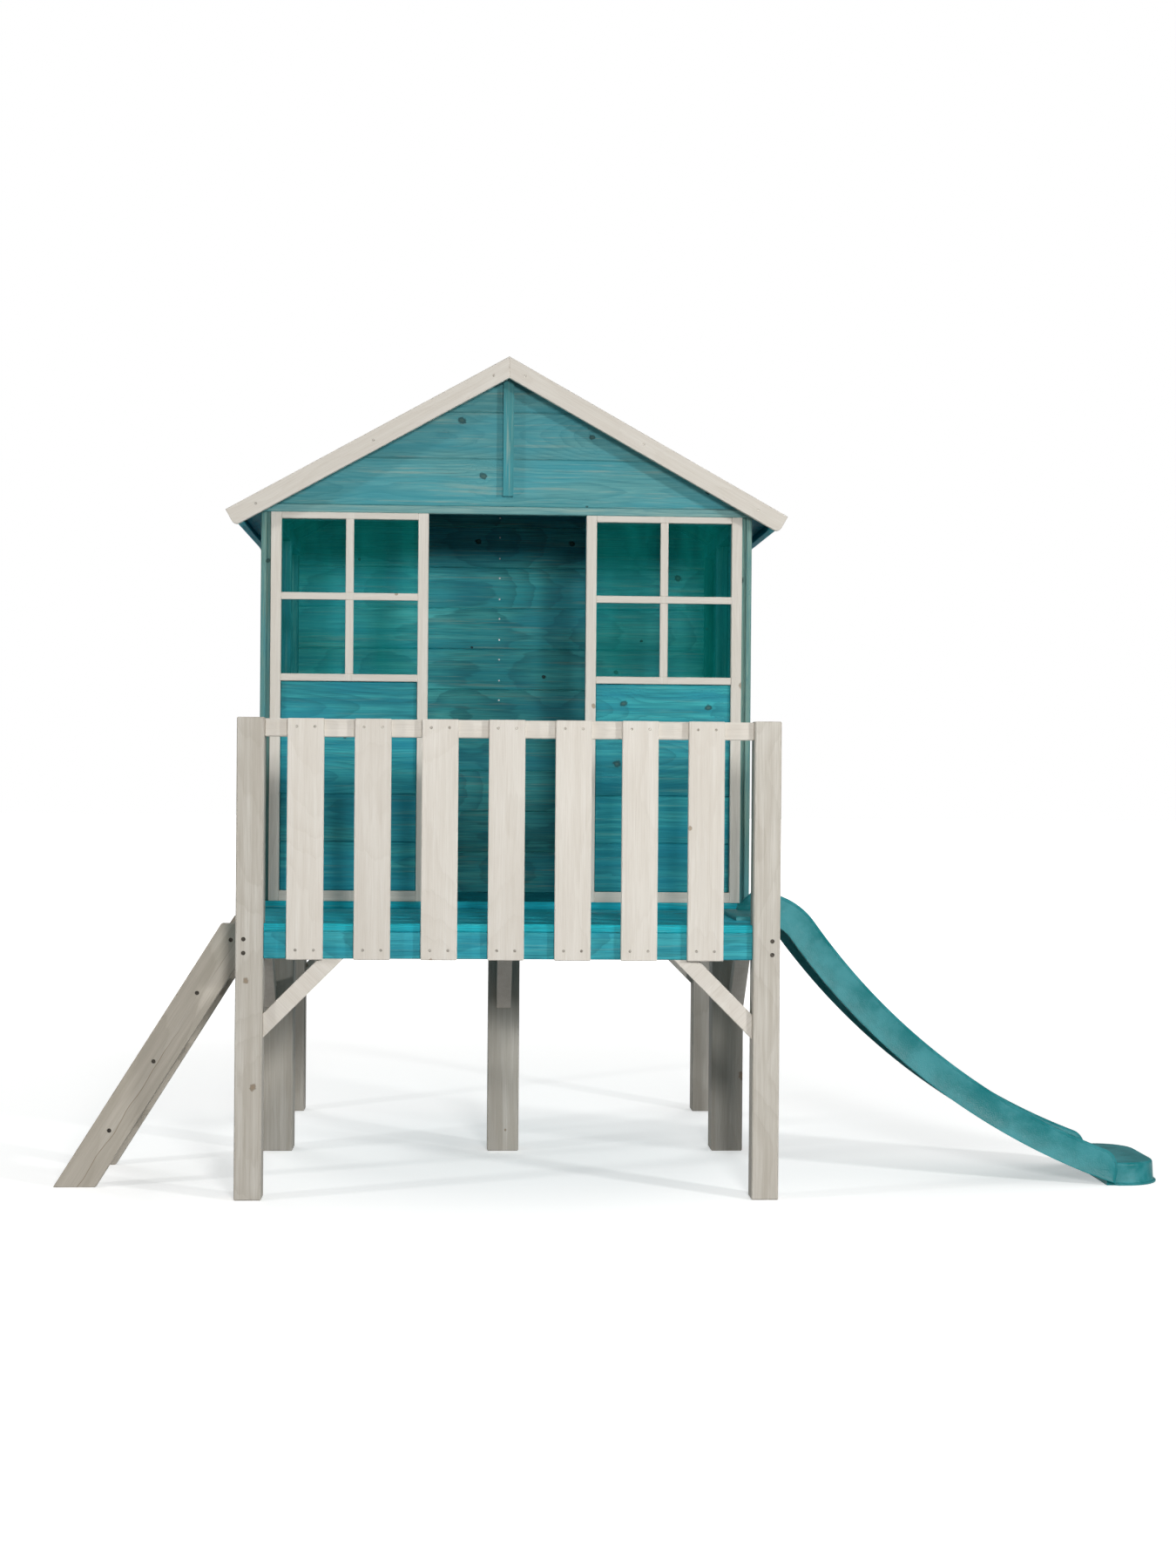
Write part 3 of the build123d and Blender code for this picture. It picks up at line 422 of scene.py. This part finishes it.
WOODEN = {
    "front_boards_left": dict(look=PANEL, grain="X", across="Z", joints=FRONT_JOINTS, seed=3.0),
    "front_boards_right": dict(look=PANEL, grain="X", across="Z", joints=FRONT_JOINTS, seed=14.0),
    "gable_boards": dict(look=GABLE, grain="X", across="Z", joints=GABLE_JOINTS, seed=5.0),
    "door_header": dict(look=HEADER, grain="X", across="Z", start=1.98, seed=8.0),
    "front_sill": dict(look=DECK, grain="X", across="Z", start=DECK_TOP, seed=2.0),
    "front_fascia": dict(look=FASCIA, grain="X", across="Z", start=FRAME_LOW, seed=4.0),
    "side_beam_left": dict(look=FASCIA, grain="Y", across="Z", start=FRAME_LOW, seed=6.0),
    "side_beam_right": dict(look=FASCIA, grain="Y", across="Z", start=FRAME_LOW, seed=7.0),
    "mid_beam": dict(look=PANEL, grain="X", across="Z", start=FRAME_LOW, seed=9.0),
    "rear_beam": dict(look=PANEL, grain="X", across="Z", start=FRAME_LOW, seed=11.0),
    "joists": dict(look=PANEL, grain="Y", across="Z", start=FRAME_LOW, seed=12.0,
                   second=("X", -0.05, 0.355)),
    "veranda_deck_boards": dict(look=DECK, grain="X", across="Y", start=-0.895, pitch=0.151,
                                seed=1.0),
    "house_floor_boards": dict(look=DECK, grain="X", across="Y", start=-0.1455, pitch=0.14986, seed=21.0),
    "back_wall_boards": dict(look=LIT_BACK_WALL, grain="X", across="Z", start=DECK_TOP, pitch=0.143, seed=31.0),
    "back_batten": dict(look=PANEL, grain="Z", across="X", start=-0.05, seed=13.0),
    "side_boards_left": dict(look=PANEL, grain="Y", across="Z", start=DECK_TOP, pitch=0.145, seed=41.0),
    "side_boards_right": dict(look=PANEL, grain="Y", across="Z", start=DECK_TOP, pitch=0.145, seed=51.0),
    "corner_trims": dict(look=TRIM, grain="Z", across="X", start=-1.0, pitch=0.2, seed=15.0,
                         second=("Y", -1.0, 1.0)),
    # the roof boards and eave fascia take the lighter fascia stain; on the eave's underside this is partly
    # painted light, standing in for light bounced up from the floor
    "roof_boards_left": dict(look=FASCIA, grain="Y", across="X", turn=("Y", SLOPE),
                             start=TOP_DOWN - 0.010, pitch=ROOF_ROW, seed=61.0),
    "roof_boards_right": dict(look=FASCIA, grain="Y", across="X", turn=("Y", -SLOPE),
                              start=0.010 - TOP_DOWN, pitch=ROOF_ROW, seed=71.0),
    "eave_fascia_left": dict(look=FASCIA, grain="Y", across="Z", start=1.90, seed=16.0),
    "eave_fascia_right": dict(look=FASCIA, grain="Y", across="Z", start=1.90, seed=17.0),
    "front_wall_studs": dict(look=FRAMING, grain="Z", across="X", start=-1.0, pitch=0.1, seed=18.0),
    "side_wall_frames": dict(look=FRAMING, grain="Z", across="Y", start=-1.0, pitch=0.1, seed=19.0),
    "back_wall_studs": dict(look=FRAMING, grain="Z", across="X", start=-1.0, pitch=0.1, seed=20.0),
    "rafters": dict(look=FRAMING, grain="X", across="Z", turn=("Y", -SLOPE), mirrored=True,
                    start=TOP_OUT - 0.075, seed=22.0, second=("Y", -0.20, 0.30)),
    "ridge_board": dict(look=FRAMING, grain="Y", across="Z", start=2.3, seed=23.0),
    "pickets": dict(look=WHITE, grain="Z", across="X", start=PICKET_ROW, pitch=PICKET_PITCH, seed=81.0),
    "top_rail": dict(look=WHITE, grain="X", across="Z", start=1.24, seed=24.0),
    "window_frame_left": dict(look=WHITE, grain="X", across="Z", start=0.0, pitch=0.2, seed=25.0,
                              mirrored=True, uprights=STILES),
    "window_frame_right": dict(look=WHITE, grain="X", across="Z", start=0.0, pitch=0.2, seed=26.0,
                               mirrored=True, uprights=STILES),
    "king_post": dict(look=KING, grain="Z", across="X", start=-0.05, pitch=0.1, seed=27.0),
    "ladder_stringer_near": dict(look=LADDER_WOOD, grain="X", across="Z", turn=("Y", LADDER_SLOPE),
                                 start=0.96, seed=28.0, crack=1.026),
    "ladder_stringer_far": dict(look=LADDER_WOOD, grain="X", across="Z", turn=("Y", LADDER_SLOPE),
                                start=0.96, seed=29.0),
    "ladder_treads": dict(look=LADDER_WOOD, grain="Y", across="X", start=-1.25, pitch=0.125, seed=30.0),
    "ladder_cleat": dict(look=LADDER_WOOD, grain="Y", across="Z", start=0.65, seed=33.0),
}
for end, added in (("front", 0.0), ("rear", 4.0)):
    for side, sign in (("left", 1), ("right", -1)):
        WOODEN[f"bargeboard_{end}_{side}"] = dict(
            look=WHITE, grain="X", across="Z", turn=("Y", sign * SLOPE), start=TOP_OUT - 0.10,
            pitch=0.12, seed=34.0 + sign + added)
        WOODEN[f"brace_{end}_{side}"] = dict(
            look=WHITE, grain="X", across="Z", turn=("Y", -sign * BRACE_SLOPE), start=-0.05,
            pitch=0.1, seed=91.0 + sign + added)
        WOODEN[f"post_{end}_{side}"] = dict(
            look=POST_WOOD, grain="Z", across="X", start=-0.80, pitch=0.2,
            seed=101.0 + sign + added)
for count, side in enumerate(("left", "centre", "right")):
    # the middle posts take the darker copy of the post wood, as painted shade from the deck above
    WOODEN[f"post_mid_{side}"] = dict(look=SHADED_POST_WOOD, grain="Z", across="X", start=-0.80, pitch=0.2,
                                      seed=111.0 + count)
    WOODEN[f"brace_mid_{side}"] = dict(look=WHITE, grain="Y", across="Z", turn=("X", -BRACE_SLOPE),
                                       start=-0.05, pitch=0.1, seed=121.0 + count)


def paint(node, material):
    """Puts a material in a CAD node's slots."""
    mesh = node.data
    if not mesh.materials:
        mesh.materials.append(material)
    for index in range(len(mesh.materials)):
        mesh.materials[index] = material


for node_name, settings in WOODEN.items():
    paint(NODES[node_name], wood(node_name, **settings))


# ---------------------------------------------------------------- steel, acrylic and plastic

def steel(name, tone, dull, glint=None):
    """Zinc plated steel with a mottled, slightly rusty surface. glint is a near-white tone painted on the
    nails inside the house,
    up the middle of its back wall: a painted highlight that stands in for their glint."""
    g = Graph(name)
    place = g.place()
    cloud = g.noise(place, 160.0, 4.0)
    colour = g.blend(g.spread(cloud, 0.35, 0.7), tone, dull)
    if glint:
        # painted highlight: these nails get a near-white, barely metallic tone in place of their glint
        x, y, _ = g.split(place)
        middle = g.math("COMPARE", x, NAIL_X, NAIL_REACH)
        nail_glint = g.math("MULTIPLY", middle, g.math("GREATER_THAN", y, NAIL_WALL))
        colour = g.blend(nail_glint, colour, glint)
        g.surface("Metallic", g.spread(nail_glint, 0.0, 1.0, 0.85, 0.1))
    else:
        g.surface("Metallic", 0.85)
    g.surface("Base Color", colour)
    g.surface("Roughness", g.spread(g.noise(place, 420.0, 3.0), 0.3, 0.7, 0.35, 0.6))
    g.bump(g.noise(place, 600.0, 2.0), 0.0002)
    return g.material


NAIL_X, NAIL_REACH, NAIL_WALL = -0.010, 0.02, 0.5   # X and half width of the nail row, a Y before it
# near-white tone painted on those nails: a painted highlight, not their own colour
NAIL_GLINT_TONE = srgb(240, 244, 244)
BOLT_TONES = (srgb(70, 66, 60), srgb(44, 40, 36))
SCREW_TONES = (srgb(150, 146, 138), srgb(92, 86, 78))
paint(NODES["bolts"], steel("bolt_steel", *BOLT_TONES))
paint(NODES["balustrade_screws"], steel("screw_steel", *SCREW_TONES))
paint(NODES["trim_screws"], steel("trim_screw_steel", *SCREW_TONES, NAIL_GLINT_TONE))


def acrylic():
    """Thin clear sheet with a slight green tint and faint wipe marks."""
    g = Graph("clear_acrylic")
    place = g.place()
    smears = g.noise(g.vector("MULTIPLY", place, (14.0, 14.0, 3.0)), 1.0, 4.0, 0.6)
    g.surface("Base Color", g.blend(smears, srgb(0, 150, 138), srgb(20, 166, 154)))
    g.surface("Alpha", g.spread(smears, 0.35, 0.7, 0.08, 0.14))
    g.surface("Roughness", g.spread(smears, 0.3, 0.7, 0.04, 0.12))
    g.surface("Specular IOR Level", 0.0)
    return g.material


paint(NODES["window_panes"], acrylic())


def plastic():
    """Rotationally moulded polyethylene: mottled colour, fine pebbled skin, satin sheen, scuffs."""
    g = Graph("slide_plastic")
    place = g.place()
    mottle = g.noise(place, 9.0, 5.0, 0.6)
    specks = g.noise(place, 70.0, 3.0, 0.6)
    scuffs = g.noise(g.vector("MULTIPLY", place, (30.0, 300.0, 30.0)), 1.0, 4.0, 0.65)
    colour = g.blend(g.spread(mottle, 0.36, 0.66), srgb(4, 112, 116), srgb(56, 138, 144))
    colour = g.blend(g.math("MULTIPLY", g.spread(specks, 0.5, 0.75), 0.25), colour, srgb(72, 140, 146))
    colour = g.blend(g.math("MULTIPLY", g.spread(scuffs, 0.6, 0.78), 0.3), colour, srgb(96, 152, 156))
    g.surface("Base Color", colour)
    g.surface("Roughness", g.spread(mottle, 0.3, 0.7, 0.34, 0.48))
    g.surface("Specular IOR Level", 0.22)
    g.bump(g.math("ADD", g.noise(place, 260.0, 2.0), g.math("MULTIPLY", mottle, 2.0)), 0.0006)
    return g.material


PLASTIC = plastic()
paint(NODES["ridge_cap"], PLASTIC)


# ---------------------------------------------------------------- slide

SWEEP_X, SWEEP_Z = 2.395, 1.849                  # centre of the long sweep
BEND_X, BEND_Z = 0.71373, 0.638                  # centre of the bend over the deck's edge
RIM, SKIRT = (0.200, 1.872), (0.124, 1.948)      # radii of a wall's edges, in the bend and the sweep
BED_BEND_X, BED_BEND_Z = 0.76421, 0.674
BED = (0.100, 1.910)                             # radii of the sliding surface
BED_LEVEL, BED_BLEND = 0.065, 0.150              # its height at the toe, and the curve that leads there
LIP_TOP, DECK_EDGE = 0.774, 0.7525
WALL_START, NOSE_END = (0.700, 0.775), (0.7625, 0.832)
WALL_END, WALL_END_R = 1.765, 0.045
TOE_BACK, TOE_FRONT, TOE_HALF, TOE_R = 1.741, 1.904, 0.190, 0.105
SLIDE_LOW, SLIDE_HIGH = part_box("slide")
SLIDE_MIDDLE = (SLIDE_LOW[1] + SLIDE_HIGH[1]) / 2
SLIDE_HALF = (SLIDE_HIGH[1] - SLIDE_LOW[1]) / 2
LIP_IN = 0.005                                   # how far the lip's sides stay inside the walls
QUARTER_TURN = [math.radians(step) for step in (0, 18, 36, 54, 72, 90)]
SHARP_ANGLE = 40

# the section of a side wall: distance in from the outer face, and height over the skirt line, or
# depth below the rim line for the bead along the rim
SKIRT_EDGE = ((0.0, 0.0), (0.0, 0.004), (0.002, 0.0065))
GROOVE = ((0.030, 0.0), (0.025, 0.0), (0.024, 0.018), (0.006, 0.018), (0.005, 0.0))
RIM_BEAD = ((0.0020, 0.0040), (0.0026, 0.0015), (0.0042, 0.0004), (0.0060, -0.0004), (0.0075, -0.0030),
            (0.0098, -0.0062), (0.0130, -0.0078), (0.0170, -0.0080), (0.0210, -0.0066), (0.0245, -0.0030),
            (0.0268, 0.0020), (0.0280, 0.0090))
FULL_WALL = 0.030                                # where a wall is lower, its section is flattened

BED_IN, BED_CORNER, BED_THICK = 0.0290, 0.014, 0.005
EASE, EASE_CUT = 0.004, 0.0012                   # of the lip's upper edges: width, and the cut halfway

# the toe from the ground up: how far its outline is grown, and at what height
TOE_FLANGE = ((0.006, 0.0), (0.007, 0.0015), (0.007, 0.0045), (0.0055, 0.0062))
TOE_STEP = ((0.0015, 0.0068), (-0.0005, 0.0095))
TOE_TOP_IN, TOE_TOP, TOE_EDGE = 0.003, 0.055, 0.010


def polar(x, z, radius, angle):
    """A point at a radius and angle from a centre; the angle is measured from straight down."""
    return Vector((x - radius * math.sin(angle), z - radius * math.cos(angle)))


def steps(first, last, count):
    """count numbers from first up to, but without, last."""
    return [first + (last - first) * index / count for index in range(count)]


class Shells:
    """Collects closed shells into one mesh."""

    def __init__(self):
        self.points = []
        self.faces = []

    def loft(self, rings, top_rungs=False):
        """A closed shell through rings of equal length. top_rungs closes the last ring with quads."""
        base, count = len(self.points), len(rings[0])
        for ring in rings:
            self.points += [tuple(point) for point in ring]
        for row in range(len(rings) - 1):
            here = base + row * count
            for index in range(count):
                after = (index + 1) % count
                self.faces.append((here + index, here + after, here + count + after, here + count + index))
        self.faces.append(tuple(range(base + count - 1, base - 1, -1)))
        last = base + (len(rings) - 1) * count
        if top_rungs:
            for index in range(count // 2 - 1):
                far = count - 1 - index
                self.faces.append((last + index, last + index + 1, last + far - 1, last + far))
        else:
            self.faces.append(tuple(range(last, last + count)))

    def build(self, name, material, sharp):
        mesh = bpy.data.meshes.new(name)
        mesh.from_pydata(self.points, [], self.faces)
        cleaner = bmesh.new()
        cleaner.from_mesh(mesh)
        bmesh.ops.recalc_face_normals(cleaner, faces=cleaner.faces)
        cleaner.to_mesh(mesh)
        cleaner.free()
        mesh.shade_smooth()
        mesh.set_sharp_from_angle(angle=math.radians(sharp))
        mesh.materials.append(material)
        piece = bpy.data.objects.new(name, mesh)
        SCENE.collection.objects.link(piece)
        return piece


def wall_stations():
    """Rim point, its inward direction, skirt point and its upward direction, from the lip to the toe."""
    stations = []
    for part in steps(0.0, 1.0, 6):
        rim = Vector(WALL_START).lerp(Vector(NOSE_END), part)
        stations.append((rim, Vector((0.6, -0.8)), Vector((rim.x, DECK_TOP)), Vector((0.0, 1.0))))
    first = math.asin((NOSE_END[0] - BEND_X) / RIM[0])
    turn = math.asin((SWEEP_X - BEND_X) / sum(RIM))
    for angle in steps(first, turn, 14):
        outward = Vector((math.sin(angle), math.cos(angle)))
        skirt = polar(BEND_X, BEND_Z, -SKIRT[0], angle)
        if skirt.x < DECK_EDGE:
            skirt.y = DECK_TOP
        stations.append((polar(BEND_X, BEND_Z, -RIM[0], angle), -outward, skirt, outward))
    end_x = WALL_END - WALL_END_R
    end = math.asin((SWEEP_X - end_x) / (RIM[1] + WALL_END_R))
    last = math.asin((SWEEP_X - WALL_END) / SKIRT[1])
    for angle in steps(turn, end, 60):
        inward = Vector((-math.sin(angle), -math.cos(angle)))
        stations.append((polar(SWEEP_X, SWEEP_Z, RIM[1], angle), inward,
                         polar(SWEEP_X, SWEEP_Z, SKIRT[1], angle), -inward))
    centre = polar(SWEEP_X, SWEEP_Z, RIM[1] + WALL_END_R, end)
    bottom = polar(SWEEP_X, SWEEP_Z, SKIRT[1], last)
    rounds, drops = 14, 6
    for index in range(rounds + drops + 1):
        part = index / (rounds + drops)
        angle = end + (last - end) * part
        lean = end + (math.pi / 2 - end) * min(1.0, index / rounds)
        outward = Vector((math.sin(lean), math.cos(lean)))
        rim = centre + outward * WALL_END_R
        if index > rounds:
            rim.y += (bottom.y + 0.002 - rim.y) * (index - rounds) / drops
        skirt = polar(SWEEP_X, SWEEP_Z, SKIRT[1], angle)
        stations.append((rim, -outward, skirt, Vector((math.sin(angle), math.cos(angle)))))
    return stations


def wall_ring(station, outside, inwards):
    """The section of a side wall: lip, face, rounded rim, inner face and the groove underneath."""
    rim, down, skirt, up = station
    ease = min(1.0, (rim - skirt).length / FULL_WALL)
    points = []
    for profile, base, direction in ((SKIRT_EDGE, skirt, up), (RIM_BEAD, rim, down), (GROOVE, skirt, up)):
        for across, offset in profile:
            spot = base + direction * offset * ease
            points.append((spot.x, outside + inwards * across, spot.y))
    return points


def bed_stations():
    """Points and upward directions down the sliding surface, from the lip to the toe."""
    stations = [(Vector((x, LIP_TOP)), Vector((0.0, 1.0))) for x in steps(WALL_START[0], BED_BEND_X, 2)]
    turn = math.asin((SWEEP_X - BED_BEND_X) / sum(BED))
    for angle in steps(0.0, turn, 12):
        stations.append((polar(BED_BEND_X, BED_BEND_Z, -BED[0], angle),
                         Vector((math.sin(angle), math.cos(angle)))))
    low = BED_LEVEL + BED_BLEND
    reach = math.sqrt((BED[1] - BED_BLEND) ** 2 - (SWEEP_Z - low) ** 2)
    end = math.asin(reach / (BED[1] - BED_BLEND))
    for angle in steps(turn, end, 56):
        stations.append((polar(SWEEP_X, SWEEP_Z, BED[1], angle),
                         Vector((math.sin(angle), math.cos(angle)))))
    for angle in steps(end, 0.0, 10) + [0.0]:
        stations.append((polar(SWEEP_X - reach, low, BED_BLEND, angle),
                         Vector((math.sin(angle), math.cos(angle)))))
    return stations


def bed_ring(station):
    """The section of the bed: flat, curved up at each side wall, with an underside."""
    spot, up = station
    half = SLIDE_HALF - BED_IN
    side = [(half + 0.002, 0.020), (half, 0.018)]
    side += [(half - BED_CORNER + BED_CORNER * math.cos(a), BED_CORNER - BED_CORNER * math.sin(a))
             for a in QUARTER_TURN]
    side += [(half * 0.5, 0.0)]
    under = [(half + 0.002, -BED_THICK)]
    section = [(-y, h) for y, h in side] + [(y, h) for y, h in reversed(side)]
    section += under + [(-y, h) for y, h in under]
    return [(spot.x + up.x * h, SLIDE_MIDDLE + y, spot.y + up.y * h) for y, h in section]


def toe_ring(grow, height, flange=False):
    """The D-shaped outline of the toe, grown or shrunk, at one height."""
    radius = TOE_R + grow
    centre_x, centre_y = TOE_FRONT - TOE_R, TOE_HALF - TOE_R
    near = [(x, centre_y + radius) for x in steps(TOE_BACK, centre_x, 5)]
    near += [(centre_x + radius * math.sin(a), centre_y + radius * math.cos(a))
             for a in (math.radians(90 * index / 16) for index in range(17))]
    near += [(centre_x + radius, centre_y * part) for part in (0.66, 0.33)]
    if flange:
        near = [(x, min(y, TOE_HALF) if x < WALL_END else y) for x, y in near]
    outline = [(x, -y) for x, y in near] + [(x, y) for x, y in reversed(near)]
    return [(x, SLIDE_MIDDLE + y, height) for x, y in outline]


def toe_rings():
    """The outlines of the toe from the ground up: a flange, a step, and a rounded top edge."""
    rings = [toe_ring(grow, height, flange=True) for grow, height in TOE_FLANGE]
    rings += [toe_ring(grow, height) for grow, height in TOE_STEP]
    rings += [toe_ring(-TOE_TOP_IN - TOE_EDGE * (1 - math.cos(a)), TOE_TOP + TOE_EDGE * math.sin(a))
              for a in QUARTER_TURN]
    return rings


def lip_rings():
    """The sections of the lip on the deck. Its upper edges are eased at the sides and at its start."""
    start, end = SLIDE_LOW[0], WALL_START[0] + 0.001
    half = SLIDE_HALF - LIP_IN
    section = [(-half, DECK_TOP), (-half, LIP_TOP - EASE), (EASE_CUT - half, LIP_TOP - EASE_CUT),
               (EASE - half, LIP_TOP), (half - EASE, LIP_TOP), (half - EASE_CUT, LIP_TOP - EASE_CUT),
               (half, LIP_TOP - EASE), (half, DECK_TOP)]
    drops = ((start, EASE), (start + EASE_CUT, EASE_CUT), (start + EASE, 0.0), (end, 0.0))
    return [[(x, SLIDE_MIDDLE + y, min(z, LIP_TOP - drop)) for y, z in section] for x, drop in drops]


def moulded_slide():
    """Both side walls, the bed, the toe and the lip, in one mesh."""
    shells = Shells()
    for outside, inwards in ((SLIDE_LOW[1], 1), (SLIDE_HIGH[1], -1)):
        shells.loft([wall_ring(station, outside, inwards) for station in wall_stations()])
    shells.loft([bed_ring(station) for station in bed_stations()])
    shells.loft(toe_rings(), top_rungs=True)
    shells.loft(lip_rings())
    return shells.build("slide_moulding", PLASTIC, SHARP_ANGLE)


slide = moulded_slide()
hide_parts("slide")
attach(slide, "root")


# ---------------------------------------------------------------- floor and light

FLOOR_REACH = 60.0
FLOOR_NEAR, FLOOR_FAR = 2.5, 9.0          # distances from the origin between which the floor brightens
FLOOR_GLOW_NEAR, FLOOR_GLOW_FAR = 0.41, 1.05
floor_mesh = bpy.data.meshes.new("studio_floor")
corners = [(sx * FLOOR_REACH, sy * FLOOR_REACH, 0.0) for sx, sy in ((-1, -1), (1, -1), (1, 1), (-1, 1))]
floor_mesh.from_pydata(corners, [], [(0, 1, 2, 3)])
floor = bpy.data.objects.new("studio_floor", floor_mesh)
SCENE.collection.objects.link(floor)


def pale_floor():
    """Pale painted floor. Its own glow grows with the distance, so that no horizon shows."""
    g = Graph("studio_floor")
    place = g.place()
    tone = g.noise(place, 0.6, 3.0)
    g.surface("Base Color", g.blend(tone, (0.90, 0.90, 0.89, 1.0), (0.93, 0.93, 0.92, 1.0)))
    g.surface("Roughness", 0.8)
    x, y, _ = g.split(place)
    away = g.math("SQRT", g.math("ADD", g.math("MULTIPLY", x, x), g.math("MULTIPLY", y, y)))
    g.surface("Emission Color", (1.0, 1.0, 1.0, 1.0))
    g.surface("Emission Strength",
              g.spread(away, FLOOR_NEAR, FLOOR_FAR, FLOOR_GLOW_NEAR, FLOOR_GLOW_FAR))
    return g.material


floor_mesh.materials.append(pale_floor())
floor.visible_diffuse = False             # its glow doesn't light the object

# light over the direction's Z: the Z at which it starts and is full, and its strength at both
SKY, BOUNCE = (-0.2, 0.9, 0.04, 0.42), (-0.15, -0.8, 0.0, 0.30)


def white_studio():
    """Soft light from above and a little bounced up from the floor, seen as plain white."""
    world = bpy.data.worlds.new("studio")
    world.use_nodes = True
    tree = world.node_tree
    background = tree.nodes["Background"]
    direction = tree.nodes.new("ShaderNodeTexCoord")
    height = tree.nodes.new("ShaderNodeSeparateXYZ")
    tree.links.new(direction.outputs["Generated"], height.inputs[0])
    total = tree.nodes.new("ShaderNodeMath")
    for place, levels in zip(total.inputs, (SKY, BOUNCE)):
        amount = tree.nodes.new("ShaderNodeMapRange")
        tree.links.new(height.outputs["Z"], amount.inputs["Value"])
        for key, value in zip(("From Min", "From Max", "To Min", "To Max"), levels):
            amount.inputs[key].default_value = value
        tree.links.new(amount.outputs[0], place)
    seen = tree.nodes.new("ShaderNodeLightPath")
    strength = tree.nodes.new("ShaderNodeMix")
    tree.links.new(seen.outputs["Is Camera Ray"], strength.inputs[0])
    tree.links.new(total.outputs[0], strength.inputs[2])
    strength.inputs[3].default_value = 1.0
    tree.links.new(strength.outputs[0], background.inputs["Strength"])
    background.inputs["Color"].default_value = (1.0, 1.0, 1.0, 1.0)
    return world


SCENE.world = white_studio()


BEHIND = 90.0


def soft_light(name, azimuth, elevation, distance, target, size, power):
    """A square soft light that points at a target, turned to the right of the front by azimuth.
    Lights behind the object don't show in its gloss."""
    turn, rise = math.radians(azimuth), math.radians(elevation)
    aim = Vector((math.sin(turn) * math.cos(rise), -math.cos(turn) * math.cos(rise), math.sin(rise)))
    data = bpy.data.lights.new(name, "AREA")
    data.shape = "SQUARE"
    data.size = size
    data.energy = power
    light = bpy.data.objects.new(name, data)
    light.location = Vector(target) + aim * distance
    light.rotation_euler = aim.to_track_quat("Z", "Y").to_euler()
    light.visible_glossy = abs(azimuth) < BEHIND
    SCENE.collection.objects.link(light)


soft_light("front_light", 6.0, 9.9, 7.0, (0.0, -0.2, 1.2), 0.8, 208.0)
soft_light("right_light", 46.0, 10.0, 6.0, (0.2, -0.4, 1.2), 0.4, 140.0)
soft_light("left_light", -62.0, 12.0, 6.0, (-0.2, -0.4, 1.0), 0.35, 85.0)
soft_light("rear_left_light", -140.0, 28.0, 7.0, (0.0, 0.2, 1.0), 3.0, 80.0)
soft_light("rear_right_light", 150.0, 28.0, 7.0, (0.0, 0.2, 1.0), 3.0, 80.0)
